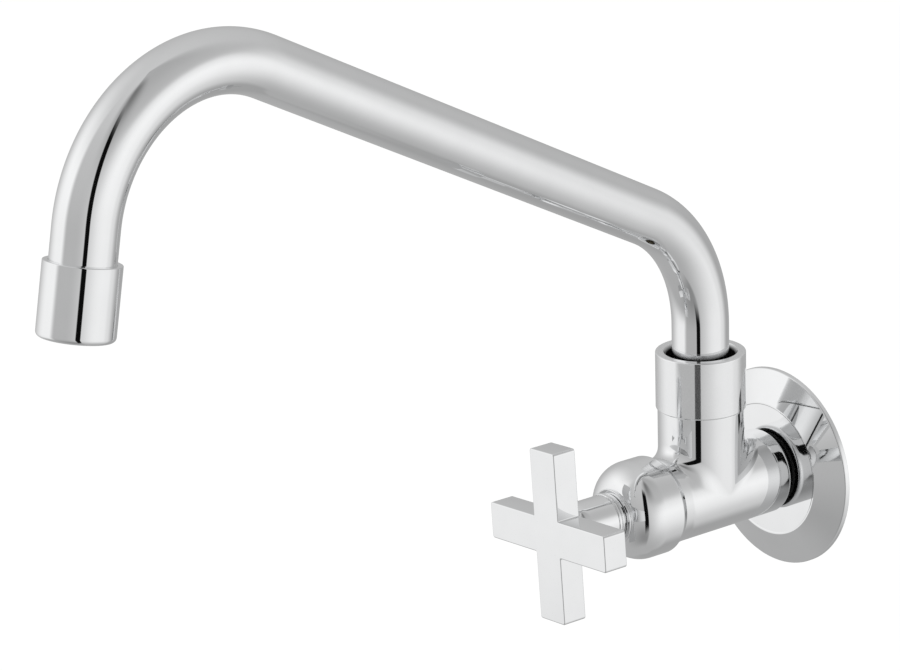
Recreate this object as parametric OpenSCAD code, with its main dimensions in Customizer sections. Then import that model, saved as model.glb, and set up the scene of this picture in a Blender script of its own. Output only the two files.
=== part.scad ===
// Wall-mounted sink tap with a swivelling spout and a cross handle.
// The wall is the plane Y = 0, the tap stands out towards -Y, and Z is up.
// The origin is where the axis of the inlet crosses the wall.
// Places on the body's axis are distances out from the wall, named ..._at.

/* [Wall flange] */
// Outer diameter of the wall flange
flange_d = 68.8; // [60:0.2:80]
// Height of the flange's upright rim
flange_rim_h = 2.2; // [1.8:0.1:3]
// Diameter of the flange's flat face
flange_face_d = 45.6; // [40:0.2:50]
// Height of the flat face above the wall
flange_h = 5.7; // [5:0.1:8]
// Height of the fine edge around the flat face
flange_edge_h = 0.2; // [0.1:0.05:0.4]
// Thickness of the pressed sheet
flange_sheet = 1; // [0.7:0.1:1.3]
// Distance of the rubber seal's edge inside the flat face
seal_inset = 2.8; // [1.5:0.1:6]

/* [Inlet] */
// Diameter over the inlet thread, G 1/2
inlet_d = 20.955; // [20:0.005:22]
// Length of the thread that goes into the wall fitting
inlet_l = 16; // [12:0.5:25]
// Bore of the inlet
inlet_bore_d = 14; // [11:0.5:16]
// Depth of the plain relief between the thread and the body
inlet_relief = 0.7; // [0.5:0.05:1.2]

/* [Body] */
// Outer diameter of the barrel
barrel_d = 28.6; // [28:0.1:32]
// Length of the barrel from its rear face to the bonnet joint
barrel_l = 48.4; // [46:0.2:54]
// Distance from the spout's axis to the bonnet joint
branch_set = 19.9; // [19.9:0.1:22]
// Outer diameter of the branch that carries the spout
branch_d = 28.4; // [28:0.1:30]
// Height of the branch's shoulder above the axis
branch_h = 29.4; // [28:0.1:34]
// Rounding between the barrel and the branch
tee_fillet_r = 4; // [3:0.1:5]
// Length of the flare up to the front rim
joint_flare_l = 4.1; // [3:0.1:6]
// Diameter of the step that bears on the flange
rear_step_d = 25; // [23:0.2:26]
// Width of the shadow gap between body and flange
rear_gap = 1.5; // [0.8:0.1:2.5]

/* [Valve] */
// Bore of the valve seat
seat_bore_d = 12; // [10:0.2:13]
// Width of the seat's raised lip
seat_lip_w = 2; // [1.4:0.1:2.4]
// Height of the seat's raised lip
seat_lip_h = 2; // [1.5:0.1:3]
// Thickness of the wall that carries the seat
seat_wall_t = 2; // [1.5:0.1:4]
// Diameter of the chamber around the plunger
chamber_d = 21.6; // [21.4:0.1:23]
// Thickness of the seat washer
washer_t = 3.2; // [2.5:0.1:4]
// Diameter of the plunger's disc
plunger_d = 16; // [15:0.1:18]
// Thickness of the plunger's disc
plunger_disc_t = 2.8; // [2.5:0.1:4]
// Length of the plunger's hexagonal stem
plunger_stem_l = 12.5; // [11:0.1:14]
// Width across the flats of the plunger's stem
plunger_flats = 12.8; // [12.2:0.1:13.4]
// Travel of the plunger from closed to open
stroke = 4.75; // [3:0.05:5]

/* [Headpart] */
// Diameter over the headpart's thread, G 1/2
headpart_d = 20.9; // [20.5:0.1:21.2]
// Width across the flats of the headpart's hexagon
headpart_flats = 23; // [22:0.1:24.4]
// Height of the headpart's hexagon
headpart_hex_h = 5.4; // [4:0.1:5.8]
// Diameter over the thread that holds the bonnet cover
neck_d = 17; // [16:0.1:18]
// Diameter of the headpart's front collar
collar_d = 14; // [13:0.1:14.4]
// Outer wall of the skirt that guides the plunger
skirt_wall = 1.7; // [1.4:0.1:1.9]
// Thickness of the fibre gasket
gasket_t = 1; // [0.8:0.1:1.5]

/* [Spindle] */
// Diameter of the spindle's sealed journal
journal_d = 10; // [9.4:0.1:11]
// Diameter over the spindle's driving thread
drive_d = 8; // [7:0.1:8.4]
// Thickness of the thrust collar
thrust_t = 2; // [1.5:0.1:3]
// Thickness of the nylon thrust washer
slip_t = 0.8; // [0.6:0.1:1.2]
// Diameter over the splines that carry the handle
spline_d = 8.2; // [7.6:0.1:9]
// Number of splines
spline_n = 20; // [16:2:28]
// Depth of each spline
spline_depth = 0.5; // [0.3:0.05:0.7]
// Thickness of an O-ring's section on the spindle
stem_ring_d = 1.35; // [1:0.05:1.5]
// Thickness of the retaining clip
clip_t = 0.8; // [0.6:0.1:0.9]
// Outer diameter of the retaining clip
clip_d = 12.6; // [11:0.1:13]

/* [Bonnet cover] */
// Wall of the cover around the headpart's hexagon
bonnet_wall = 2.6; // [2:0.1:3.4]
// Length of the cover from the joint to its nose
bonnet_l = 20; // [19:0.1:22]
// Length of the chamfer at the cover's rear edge
bonnet_chamfer_l = 1.4; // [0.8:0.1:2]
// Width of the chamfer at the cover's rear edge
bonnet_chamfer_w = 1; // [0.4:0.1:1.4]
// Radius of the domed shoulder
dome_r = 11.6; // [11:0.1:11.8]
// Diameter of the raised nose ring
nose_d = 18.8; // [18:0.1:19.6]
// Height of the raised nose ring
nose_h = 0.9; // [0.5:0.1:1.4]
// Clearance between the nose and the hub of the handle
nose_gap = 1.4; // [1.1:0.1:2.4]

/* [Handle] */
// Diameter of the handle's hub
hub_d = 16.6; // [15:0.1:18]
// Length of the hub behind the cross
hub_l = 17.25; // [15:0.25:24]
// Diameter of the bead at the hub's rear end
hub_bead_d = 17.4; // [16.8:0.1:18.6]
// Width of that bead
hub_bead_w = 1.3; // [0.8:0.1:2]
// Span of the cross from end to end
cross_span = 57.7; // [50:0.1:70]
// Width of each arm
arm_w = 12.15; // [10:0.05:16]
// Depth of each arm
arm_t = 8.8; // [7:0.1:12]
// Turn of the closed cross from upright
cross_turn = 4; // [0:1:10]
// Diameter of the set screw
set_screw_d = 4; // [3:0.1:5]

/* [Spout] */
// Outer diameter of the spout tube
tube_d = 19.05; // [18:0.05:19.4]
// Wall of the spout tube
tube_wall = 1.2; // [0.8:0.1:1.6]
// Height of the tube above the nut before the first bend
riser_l = 9.1; // [4:0.1:60]
// Centreline radius of the first bend
bend_low_r = 47.7; // [35:0.1:60]
// Rise of the straight arm in degrees
arm_rise = 26.2; // [15:0.1:40]
// Length of the straight arm
arm_l = 176; // [120:1:260]
// Centreline radius of the second bend
bend_high_r = 46.9; // [35:0.1:60]
// Lean of the outlet from plumb in degrees
outlet_lean = 11.5; // [0:0.5:20]
// Straight length of tube above the aerator
outlet_l = 9.6; // [5:0.1:30]
// Turn of the spout from straight out, as photographed
spout_turn = 6.6; // [-30:0.1:30]

/* [Spout joint] */
// Outer diameter of the spout nut
nut_d = 30.2; // [29.8:0.1:33]
// Height of the spout nut
nut_h = 19.6; // [18.6:0.1:24]
// Diameter over the branch's thread, G 3/4
branch_thread_d = 26.44; // [26:0.01:26.6]
// Length of the branch's thread
branch_thread_l = 10.2; // [8:0.1:12]
// Shadow gap between the nut and the ferrule's sleeve
nut_play = 0.5; // [0.3:0.05:0.8]
// Wall of the swivel ferrule around the tube, inside the branch
plug_wall = 0.95; // [0.8:0.05:1.2]
// Wall of the swivel ferrule's sleeve above the collar
sleeve_wall = 1.4; // [1:0.05:1.8]
// Length of the plug below the collar
plug_l = 21.2; // [19:0.1:24]
// Bore of the plug
plug_bore_d = 14.8; // [13:0.1:15.4]
// Thickness of the ferrule's collar
ferrule_t = 2.2; // [1.8:0.1:3]
// Thickness of the nylon slip ring
glide_t = 1.2; // [0.8:0.1:1.6]
// Thickness of an O-ring's section in the spout joint
swivel_ring_d = 1.8; // [1.5:0.05:2]

/* [Outlet] */
// Wall of the threaded ferrule brazed around the tube's end
outlet_ferrule_wall = 0.8; // [0.6:0.05:1.6]
// Length of the aerator housing
aerator_l = 21.5; // [20.5:0.1:26]
// Rounding of the housing's lower edge
aerator_round = 1.2; // [0.6:0.1:1.8]
// Wall of the housing
aerator_wall = 0.8; // [0.6:0.05:1.2]
// Depth of the outlet's lip
outlet_lip = 2; // [1.9:0.1:3]
// Clearance between the flow insert and the housing
insert_play = 1; // [0.5:0.1:1.4]
// Pitch of the strainer mesh
mesh_pitch = 1.8; // [1.4:0.1:2.4]
// Thickness of the strainer mesh
mesh_t = 0.4; // [0.3:0.05:0.6]

/* [Clearances] */
// Running clearance on the radius of turning and sliding parts
run_gap = 0.05; // [0.02:0.01:0.08]
// Gap between faces that move past each other
face_gap = 0.2; // [0.1:0.05:0.3]

/* [Hidden] */
$fn = 96;

// One overrun for every cut
over = 1;
// Fine break of edges that are square to the touch
edge_break = 0.5;
// Play of threads and of pressed and brazed pieces
fit_gap = 0.02;

// Radii
flange_r = flange_d / 2;
inlet_r = inlet_d / 2;
barrel_r = barrel_d / 2;
branch_r = branch_d / 2;
hex_play = 0.4;
bonnet_bore_r = headpart_flats / 2 / cos(30) + hex_play;
bonnet_r = bonnet_bore_r + bonnet_wall;
joint_r = bonnet_r - bonnet_chamfer_w;
tube_r = tube_d / 2;
nut_r = nut_d / 2;

// Places along the body's axis, out from the wall
rear_at = flange_h + rear_gap;
joint_at = rear_at + barrel_l;
spout_at = joint_at - branch_set;
chamber_clear = 1.4;
branch_bore_d = 17.2;
chamber_at = spout_at - branch_bore_d / 2 - chamber_clear;
seat_at = chamber_at + seat_lip_h;
washer_at = seat_at + face_gap;
disc_at = washer_at + washer_t;
stem_at = disc_at + plunger_disc_t;
stem_end_at = stem_at + plunger_stem_l;
stop_gap = 0.45;
skirt_at = stem_at + stroke + stop_gap;
thrust_at = stem_end_at + stroke + stop_gap;
thrust_end_at = thrust_at + thrust_t;
slip_at = thrust_end_at + run_gap;
shoulder_at = slip_at + slip_t + run_gap;
nose_at = joint_at + bonnet_l;
neck_share = 1 / 3;
neck_end_at = nose_at + nose_gap * neck_share;
clip_at = neck_end_at + run_gap;
hub_at = nose_at + nose_gap;
cross_at = hub_at + hub_l;

// Wall flange
flange_hole_play = 0.3;
flange_hole_r = inlet_r + flange_hole_play;
flange_edge_w = 0.4;
seal_play = 0.6;

// Headpart
headpart_play = 0.05;
headpart_bore_r = headpart_d / 2 + headpart_play;
body_thread_l = 11.1;
neck_thread_l = 5.2;
neck_top_inset = 3.3;
hex_gap = 0.2;

// Plunger and spindle
washer_inset = 0.4;
washer_r = plunger_d / 2 - washer_inset;
guide_flats = plunger_flats + 2 * (run_gap + fit_gap);
thrust_inset = 0.15;
thrust_r = plunger_flats / 2 - thrust_inset;
drive_gap = 0.5;
drive_bore_inset = 1.9;
drive_at = stem_at + drive_bore_inset + stroke + drive_gap;
stem_groove_w = 1.9;
stem_ring_pitch = 4.4;
stem_ring_set = 6;
washer_screw_d = 4;
washer_screw_head_d = 6.8;
washer_screw_head_h = 1.5;
washer_screw_hold = 3.3;
slot_w = 1;
slot_depth = 0.8;
spline_inset = 2.4;
spline_at = clip_at + clip_t + fit_gap;
spline_root_r = spline_d / 2 - spline_depth;
clip_gap_deg = 70;
function stem_ring_at(i) = shoulder_at + stem_ring_set + i * stem_ring_pitch;

// Spout joint
thread_top = branch_h + branch_thread_l;
collar_at = thread_top + face_gap;
plug_at = collar_at - plug_l;
collar_top = collar_at + ferrule_t;
glide_at = collar_top + face_gap / 2;
lip_at = glide_at + glide_t + face_gap / 2;
nut_at = branch_h + run_gap;
nut_top = nut_at + nut_h;
nut_bevel = 1.2;
riser_h = nut_top + riser_l;
sleeve_h = 3;
sleeve_r = tube_r + fit_gap + sleeve_wall;
nut_hole_r = sleeve_r + nut_play;
collar_play = 0.6;
collar_r = branch_thread_d / 2 - collar_play;
plug_r = tube_r + fit_gap + plug_wall;
plug_bore_play = 0.1;
plug_hole_r = plug_r + plug_bore_play;
plug_floor_gap = 1;
socket_at = branch_h + edge_break;
swivel_groove_w = 2.4;
swivel_ring_set = 3;
swivel_ring_pitch = 5;
function swivel_ring_at(i) = plug_at + swivel_ring_set + i * swivel_ring_pitch;

// Outlet
outlet_ferrule_r = tube_r + fit_gap + outlet_ferrule_wall;
housing_bore_r = outlet_ferrule_r + run_gap;
housing_r = housing_bore_r + aerator_wall;
insert_r = housing_bore_r - insert_play;

// Places along the outlet, down from the end of the second bend
housing_at = outlet_l;
tube_tuck = 9;
sleeve_tuck = 0.3;
ring_pad_t = 1.5;
pad_at = housing_at + tube_tuck + sleeve_tuck;
insert_at = pad_at + ring_pad_t + fit_gap;
insert_flange_t = 1.5;
insert_plate_t = 1.5;
insert_wall = 1.1;
jet_n = 12;
jet_d = 1.3;
jets_share = 2 / 3;
mesh_hole_share = 0.66;
housing_end = housing_at + aerator_l;
ledge_at = housing_end - outlet_lip;

// The wall draws thinner by this on each side where the tube is bent
bend_thinning = 0.01;
// Length by which a straight run laps into a bend
tube_lap = 0.3;

// Angles of the spout in its own upright plane
fall = 90 - outlet_lean;
bend_low_deg = 90 - arm_rise;
bend_high_deg = arm_rise + fall;

// Corner points of the spout's centreline, as [Y, Z] from the riser's axis
function low_centre() = [-bend_low_r, riser_h];
function low_end() = low_centre() + bend_low_r * [cos(bend_low_deg), sin(bend_low_deg)];
function arm_end() = low_end() + arm_l * [-cos(arm_rise), sin(arm_rise)];
function high_centre() = arm_end() - bend_high_r * [sin(arm_rise), cos(arm_rise)];
function high_end() = high_centre() + bend_high_r * [-cos(outlet_lean), sin(outlet_lean)];

// Sets a piece drawn upwards onto the body's axis, at a distance from the wall
module on_axis(at) {
    translate([0, -at, 0]) rotate([90, 0, 0]) children();
}

// Sets a piece drawn about the riser's foot onto the spout's axis
module on_spout() {
    translate([0, -spout_at, 0]) rotate([0, 0, spout_turn]) children();
}

// Sets a piece drawn upwards onto the outlet, running down the stream
module on_outlet(at) {
    on_spout()
    translate([0, high_end()[0], high_end()[1]])
    rotate([90 + fall, 0, 0])
    translate([0, 0, at])
    children();
}

module disc(r, h) {
    cylinder(r = r, h = h);
}

// A flat ring standing on Z = 0
module ring(outer, inner, h) {
    difference() {
        disc(outer, h);
        translate([0, 0, -over]) disc(inner, h + 2 * over);
    }
}

// A hexagonal bar, given its width across the flats
module hexagon(flats, h) {
    cylinder(r = flats / 2 / cos(30), h = h, $fn = 6);
}

// An O-ring of a round section, centred on Z = 0
module o_ring(inner, section) {
    rotate_extrude()
        translate([inner + section / 2, 0])
            circle(d = section, $fn = 32);
}

// Cross-sections of the rounding between barrel and branch. A ball of the
// fillet's radius rolls in the corner: its centre lies at one radius from both
// cylinders, and a section runs between its two points of contact. The ends of
// the rounding fade out by sinking into the corner.
tee_sections = 12;
tee_arc_steps = 5;
tee_reach_deg = 58;
tee_sink = 0.08;
tee_fade = 0.8;
tee_fade_order = 8;
function tee_ball(a) = let(
        x = (branch_r + tee_fillet_r) * sin(a),
        y = (branch_r + tee_fillet_r) * cos(a))
    [x, y, sqrt(pow(barrel_r + tee_fillet_r, 2) - x * x)];
function tee_on_branch(c, r) = [c[0] * r / (branch_r + tee_fillet_r),
                                c[1] * r / (branch_r + tee_fillet_r), c[2]];
function tee_on_barrel(c, r) = [c[0] * r / (barrel_r + tee_fillet_r), c[1],
                                c[2] * r / (barrel_r + tee_fillet_r)];
function tee_depth(a) = tee_sink + tee_fade * pow(a / tee_reach_deg, tee_fade_order);
function unit(v) = v / norm(v);
function tee_section(a) = let(
        c = tee_ball(a),
        from = tee_on_branch(c, branch_r) - c,
        to = tee_on_barrel(c, barrel_r) - c,
        span = acos(from * to / norm(from) / norm(to)),
        across = unit(to - from * (from * to) / (from * from)))
    concat(
        [for (i = [0 : tee_arc_steps])
            let(s = span * i / tee_arc_steps)
            c + tee_fillet_r * (unit(from) * cos(s) + across * sin(s))
            + tee_depth(a) * unit(from + to)],
        [tee_on_barrel(c, barrel_r - tee_fillet_r / 2),
         tee_on_branch(tee_on_barrel(c, barrel_r - tee_fillet_r), branch_r - tee_fillet_r),
         tee_on_branch(c, branch_r - tee_fillet_r / 2)]);
module tee_fillet() {
    per = tee_arc_steps + 4;
    rows = [for (i = [0 : tee_sections])
        tee_section(tee_reach_deg * (2 * i / tee_sections - 1))];
    sides = [for (i = [0 : tee_sections - 1], k = [0 : per - 1])
        [[i * per + k, i * per + (k + 1) % per, (i + 1) * per + k],
         [i * per + (k + 1) % per, (i + 1) * per + (k + 1) % per, (i + 1) * per + k]]];
    fan = [for (k = [1 : per - 2]) [0, k + 1, k]];
    last = tee_sections * per;
    polyhedron(
        points = [for (r = rows) for (p = r) p],
        faces = concat(
            [for (s = sides) for (f = s) f],
            fan,
            [for (f = fan) [last + f[0], last + f[2], last + f[1]]]));
}

module tap_body() {
    color([0.86, 0.87, 0.88])
    difference() {
        union() {
            on_axis(rear_at) disc(barrel_r, barrel_l);
            on_axis(joint_at - joint_flare_l)
                cylinder(r1 = barrel_r - edge_break / 2, r2 = joint_r, h = joint_flare_l);
            on_axis(flange_h) disc(rear_step_d / 2, rear_gap + over);
            on_axis(-over) disc(inlet_r - inlet_relief, flange_h + 2 * over);
            on_axis(-inlet_l) disc(inlet_r, inlet_l);
            translate([0, -spout_at, 0]) disc(branch_r, branch_h);
            translate([0, -spout_at, 0]) disc(branch_thread_d / 2, thread_top);
            translate([0, -spout_at, 0]) tee_fillet();
            translate([0, -spout_at, 0]) rotate([0, 0, 180]) tee_fillet();
        }
        on_axis(-inlet_l - over)
            disc(inlet_bore_d / 2, inlet_l + chamber_at - seat_wall_t + over);
        on_axis(chamber_at - seat_wall_t - over) disc(seat_bore_d / 2, seat_wall_t + 2 * over);
        on_axis(chamber_at) difference() {
            disc(chamber_d / 2, joint_at - chamber_at - body_thread_l);
            disc(seat_bore_d / 2 + seat_lip_w, seat_lip_h);
        }
        on_axis(chamber_at - over) disc(seat_bore_d / 2, seat_lip_h + 2 * over);
        on_axis(joint_at - body_thread_l - over)
            disc(headpart_bore_r, body_thread_l + 2 * over);
        translate([0, -spout_at, 0]) disc(branch_bore_d / 2, thread_top);
        translate([0, -spout_at, plug_at - plug_floor_gap])
            disc(plug_hole_r, plug_l + plug_floor_gap + over);
    }
}

module wall_flange() {
    slope = flange_r - flange_face_d / 2;
    color([0.8, 0.81, 0.82])
    on_axis(0)
    rotate_extrude()
    polygon([
        [flange_r, 0],
        [flange_r, flange_rim_h - edge_break],
        [flange_r - edge_break, flange_rim_h],
        [flange_r - slope, flange_h + flange_edge_h],
        [flange_r - slope - flange_edge_w, flange_h],
        [flange_hole_r, flange_h],
        [flange_hole_r, flange_h - flange_sheet],
        [flange_r - slope - flange_sheet, flange_h - flange_sheet],
        [flange_r - flange_sheet - edge_break, flange_rim_h - flange_sheet],
        [flange_r - flange_sheet, flange_rim_h - flange_sheet - edge_break],
        [flange_r - flange_sheet, 0]
    ]);
}

module flange_seal() {
    color([0.2, 0.2, 0.21])
    on_axis(0)
    ring(flange_face_d / 2 - seal_inset, inlet_r + seal_play, flange_h - flange_sheet);
}

module bonnet_cover() {
    dome_at = bonnet_l - nose_h - sqrt(pow(dome_r, 2) - pow(nose_d / 2 - bonnet_r + dome_r, 2));
    hex_top = gasket_t + headpart_hex_h + hex_gap;
    thread_at = bonnet_l - neck_top_inset - neck_thread_l;
    color([0.84, 0.85, 0.86])
    on_axis(joint_at)
    difference() {
        union() {
            cylinder(r1 = joint_r, r2 = bonnet_r, h = bonnet_chamfer_l);
            translate([0, 0, bonnet_chamfer_l]) disc(bonnet_r, dome_at - bonnet_chamfer_l);
            translate([0, 0, dome_at]) rotate_extrude() intersection() {
                union() {
                    translate([bonnet_r - dome_r, 0]) circle(r = dome_r);
                    square([bonnet_r - dome_r, dome_r]);
                }
                square([bonnet_r, bonnet_l - nose_h - dome_at]);
            }
            translate([0, 0, bonnet_l - nose_h - over]) disc(nose_d / 2, nose_h + over);
        }
        translate([0, 0, -over]) disc(bonnet_bore_r, hex_top + over);
        translate([0, 0, hex_top]) cylinder(
            r1 = bonnet_bore_r, r2 = neck_d / 2 + fit_gap, h = thread_at - hex_top);
        translate([0, 0, hex_top]) disc(neck_d / 2 + fit_gap, bonnet_l - neck_top_inset - hex_top);
        translate([0, 0, hex_top]) disc(collar_d / 2 + run_gap, bonnet_l);
    }
}

module headpart_body() {
    neck_top = nose_at - neck_top_inset - fit_gap;
    hex_at = joint_at + gasket_t;
    color([0.78, 0.64, 0.33])
    difference() {
        union() {
            on_axis(skirt_at)
                disc(guide_flats / 2 / cos(30) + skirt_wall, joint_at - body_thread_l - skirt_at);
            on_axis(joint_at - body_thread_l) disc(headpart_d / 2, body_thread_l + gasket_t);
            on_axis(hex_at) intersection() {
                hexagon(headpart_flats, headpart_hex_h);
                cylinder(r1 = headpart_flats / 2 + headpart_hex_h,
                         r2 = headpart_flats / 2 + edge_break, h = headpart_hex_h);
            }
            on_axis(hex_at) disc(neck_d / 2 - edge_break, neck_top - hex_at);
            on_axis(neck_top - neck_thread_l) disc(neck_d / 2, neck_thread_l);
            on_axis(hex_at) disc(collar_d / 2, neck_end_at - hex_at);
        }
        on_axis(skirt_at - over) hexagon(guide_flats, shoulder_at - skirt_at + over);
        on_axis(skirt_at) disc(journal_d / 2 + run_gap, neck_end_at - skirt_at + over);
    }
}

module headpart_gasket() {
    color([0.55, 0.2, 0.14])
    on_axis(joint_at) ring(bonnet_bore_r - hex_play, headpart_bore_r, gasket_t);
}

module thrust_washer() {
    color([0.92, 0.91, 0.86])
    on_axis(slip_at) ring(thrust_r, journal_d / 2 + run_gap, slip_t);
}

// Outline of the splines: a toothed circle with rounded flanks
module splines(r, depth) {
    steps = spline_n * 4;
    polygon([for (i = [0 : steps - 1])
        let(a = 360 * i / steps, here = r - depth * (i % 4 < 2 ? 0 : 1))
        [here * cos(a), here * sin(a)]]);
}

module spindle() {
    groove_r = journal_d / 2 - stem_ring_d - run_gap;
    color([0.8, 0.67, 0.36])
    difference() {
        union() {
            on_axis(drive_at) disc(drive_d / 2, thrust_at - drive_at);
            on_axis(thrust_at) disc(thrust_r, thrust_t);
            on_axis(thrust_end_at) disc(journal_d / 2, clip_at - thrust_end_at);
            on_axis(clip_at - over) disc(spline_root_r, clip_t + 2 * over);
            on_axis(spline_at) linear_extrude(cross_at - spline_inset - spline_at)
                splines(spline_d / 2, spline_depth);
        }
        for (i = [0 : 1])
            on_axis(stem_ring_at(i) - stem_groove_w / 2)
                ring(journal_d / 2 + over, groove_r, stem_groove_w);
    }
}

module spindle_clip() {
    color([0.6, 0.61, 0.62])
    on_axis(clip_at + fit_gap)
    difference() {
        ring(clip_d / 2, spline_root_r + fit_gap, clip_t - fit_gap);
        rotate([0, 0, -90 - clip_gap_deg / 2]) translate([0, 0, -over])
            rotate_extrude(angle = clip_gap_deg) square([clip_d, clip_t + 2 * over]);
    }
}

module spindle_o_rings() {
    color([0.08, 0.08, 0.08])
    for (i = [0 : 1])
        on_axis(stem_ring_at(i))
            o_ring(journal_d / 2 - stem_ring_d - run_gap + fit_gap, stem_ring_d);
}

module plunger() {
    color([0.79, 0.65, 0.34])
    difference() {
        union() {
            on_axis(disc_at) disc(plunger_d / 2, plunger_disc_t);
            on_axis(disc_at) hexagon(plunger_flats, stem_end_at - disc_at);
        }
        on_axis(stem_at + drive_bore_inset)
            disc(drive_d / 2 + run_gap, plunger_stem_l - drive_bore_inset + over);
        on_axis(disc_at - over)
            disc(washer_screw_d / 2 + fit_gap, washer_screw_hold + fit_gap + over);
    }
}

module seat_washer() {
    color([0.1, 0.1, 0.11])
    on_axis(washer_at) ring(washer_r, washer_screw_d / 2 + fit_gap, washer_t);
}

module washer_screw() {
    color([0.77, 0.63, 0.32])
    difference() {
        union() {
            on_axis(washer_at) disc(washer_screw_d / 2, washer_t + washer_screw_hold);
            on_axis(washer_at - washer_screw_head_h)
                disc(washer_screw_head_d / 2, washer_screw_head_h);
        }
        on_axis(washer_at - washer_screw_head_h - over)
            translate([-washer_screw_head_d, -slot_w / 2, 0])
                cube([2 * washer_screw_head_d, slot_w, slot_depth + over]);
    }
}

module cross_outline() {
    square([cross_span, arm_w], center = true);
    square([arm_w, cross_span], center = true);
}

module cross_handle() {
    screw_at = hub_at + hub_l / 2;
    bore_l = hub_l - spline_inset + fit_gap;
    color([0.88, 0.89, 0.9])
    difference() {
        union() {
            on_axis(cross_at) rotate([0, 0, cross_turn])
                linear_extrude(arm_t) cross_outline();
            on_axis(hub_at) disc(hub_d / 2, hub_l + over);
            on_axis(hub_at) rotate_extrude() {
                translate([hub_bead_d / 2 - hub_bead_w / 2, hub_bead_w / 2])
                    circle(d = hub_bead_w);
                square([hub_bead_d / 2 - hub_bead_w / 2, hub_bead_w]);
            }
        }
        on_axis(hub_at - over) linear_extrude(bore_l + over)
            splines(spline_d / 2 + fit_gap, spline_depth);
        on_axis(screw_at) rotate([0, 0, cross_turn]) rotate([90, 0, 0])
            disc(set_screw_d / 2 + fit_gap, hub_d);
    }
}

module handle_set_screw() {
    inner = spline_d / 2 + fit_gap;
    socket = set_screw_d / 2;
    color([0.35, 0.35, 0.36])
    on_axis(hub_at + hub_l / 2) rotate([0, 0, cross_turn]) rotate([90, 0, 0])
    translate([0, 0, inner])
    difference() {
        disc(set_screw_d / 2, hub_d / 2 - inner - edge_break);
        translate([0, 0, hub_d / 2 - inner - edge_break - socket])
            hexagon(socket, socket + over);
    }
}

module spout_nut() {
    color([0.85, 0.86, 0.87])
    translate([0, -spout_at, 0])
    rotate_extrude()
    polygon([
        [branch_thread_d / 2 + fit_gap, nut_at],
        [nut_r - edge_break, nut_at],
        [nut_r, nut_at + edge_break],
        [nut_r, nut_top - edge_break],
        [nut_r - edge_break, nut_top],
        [nut_hole_r + nut_bevel, nut_top],
        [nut_hole_r, nut_top - nut_bevel],
        [nut_hole_r, lip_at],
        [branch_thread_d / 2 + fit_gap, lip_at]
    ]);
}

module spout_glide_ring() {
    color([0.93, 0.92, 0.87])
    translate([0, -spout_at, glide_at])
        ring(collar_r, nut_hole_r, glide_t);
}

module spout_ferrule() {
    groove_r = plug_hole_r - swivel_ring_d - run_gap;
    color([0.8, 0.66, 0.35])
    on_spout()
    difference() {
        union() {
            translate([0, 0, plug_at]) disc(plug_r, plug_l + over);
            translate([0, 0, collar_at]) disc(collar_r, ferrule_t);
            translate([0, 0, collar_at]) disc(sleeve_r, ferrule_t + sleeve_h);
        }
        translate([0, 0, plug_at - over]) disc(plug_bore_d / 2, plug_l + 2 * over);
        translate([0, 0, socket_at]) disc(tube_r + fit_gap, collar_top + sleeve_h);
        for (i = [0 : 1])
            translate([0, 0, swivel_ring_at(i) - swivel_groove_w / 2])
                ring(plug_r + over, groove_r, swivel_groove_w);
    }
}

module spout_o_rings() {
    color([0.09, 0.09, 0.09])
    on_spout()
    for (i = [0 : 1])
        translate([0, 0, swivel_ring_at(i)])
            o_ring(plug_hole_r - swivel_ring_d - run_gap + fit_gap, swivel_ring_d);
}

// A bend of the tube in the spout's upright plane, from one angle on
module tube_bend(centre, radius, from, turn) {
    translate([0, centre[0], centre[1]]) rotate([90, 0, 90]) rotate([0, 0, from])
        rotate_extrude(angle = turn) translate([radius, 0]) difference() {
            circle(r = tube_r - bend_thinning);
            circle(r = tube_r - tube_wall + bend_thinning);
        }
}

// A straight run of the tube between two distances from a point, leaning back
// from plumb by an angle
module tube_run(point, lean, from, to) {
    translate([0, point[0], point[1]]) rotate([lean, 0, 0]) translate([0, 0, from])
        ring(tube_r, tube_r - tube_wall, to - from);
}

module spout_tube() {
    color([0.87, 0.88, 0.89])
    on_spout() {
        tube_run([0, 0], 0, socket_at, riser_h + tube_lap);
        tube_bend(low_centre(), bend_low_r, 0, bend_low_deg);
        tube_run(low_end(), bend_low_deg, -tube_lap, arm_l + tube_lap);
        tube_bend(high_centre(), bend_high_r, bend_low_deg, bend_high_deg);
        tube_run(high_end(), 90 + fall, -tube_lap, housing_at + tube_tuck);
    }
}

module outlet_ferrule() {
    color([0.82, 0.83, 0.84])
    on_outlet(housing_at + sleeve_tuck)
        ring(outlet_ferrule_r, tube_r + fit_gap, tube_tuck - sleeve_tuck);
}

module aerator_housing() {
    color([0.86, 0.87, 0.88])
    on_outlet(housing_at)
    difference() {
        rotate_extrude() union() {
            square([housing_r, aerator_l - aerator_round]);
            square([housing_r - aerator_round, aerator_l]);
            translate([housing_r - aerator_round, aerator_l - aerator_round])
                circle(r = aerator_round);
        }
        translate([0, 0, -over]) disc(housing_bore_r, aerator_l - outlet_lip + over);
        disc(insert_r - edge_break, aerator_l + over);
    }
}

module aerator_washer() {
    color([0.12, 0.12, 0.12])
    on_outlet(pad_at)
        ring(outlet_ferrule_r, tube_r - 2 * tube_wall, ring_pad_t);
}

module aerator_insert() {
    length = ledge_at - insert_at - fit_gap;
    color([0.9, 0.9, 0.88])
    on_outlet(insert_at)
    difference() {
        union() {
            disc(outlet_ferrule_r, insert_flange_t);
            disc(insert_r, length);
        }
        translate([0, 0, insert_plate_t]) disc(insert_r - insert_wall, length);
        for (i = [0 : jet_n - 1])
            rotate([0, 0, 360 * i / jet_n])
                translate([(insert_r - insert_wall) * jets_share, 0, -over])
                    cylinder(d = jet_d, h = insert_plate_t + 2 * over, $fn = 24);
    }
}

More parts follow.
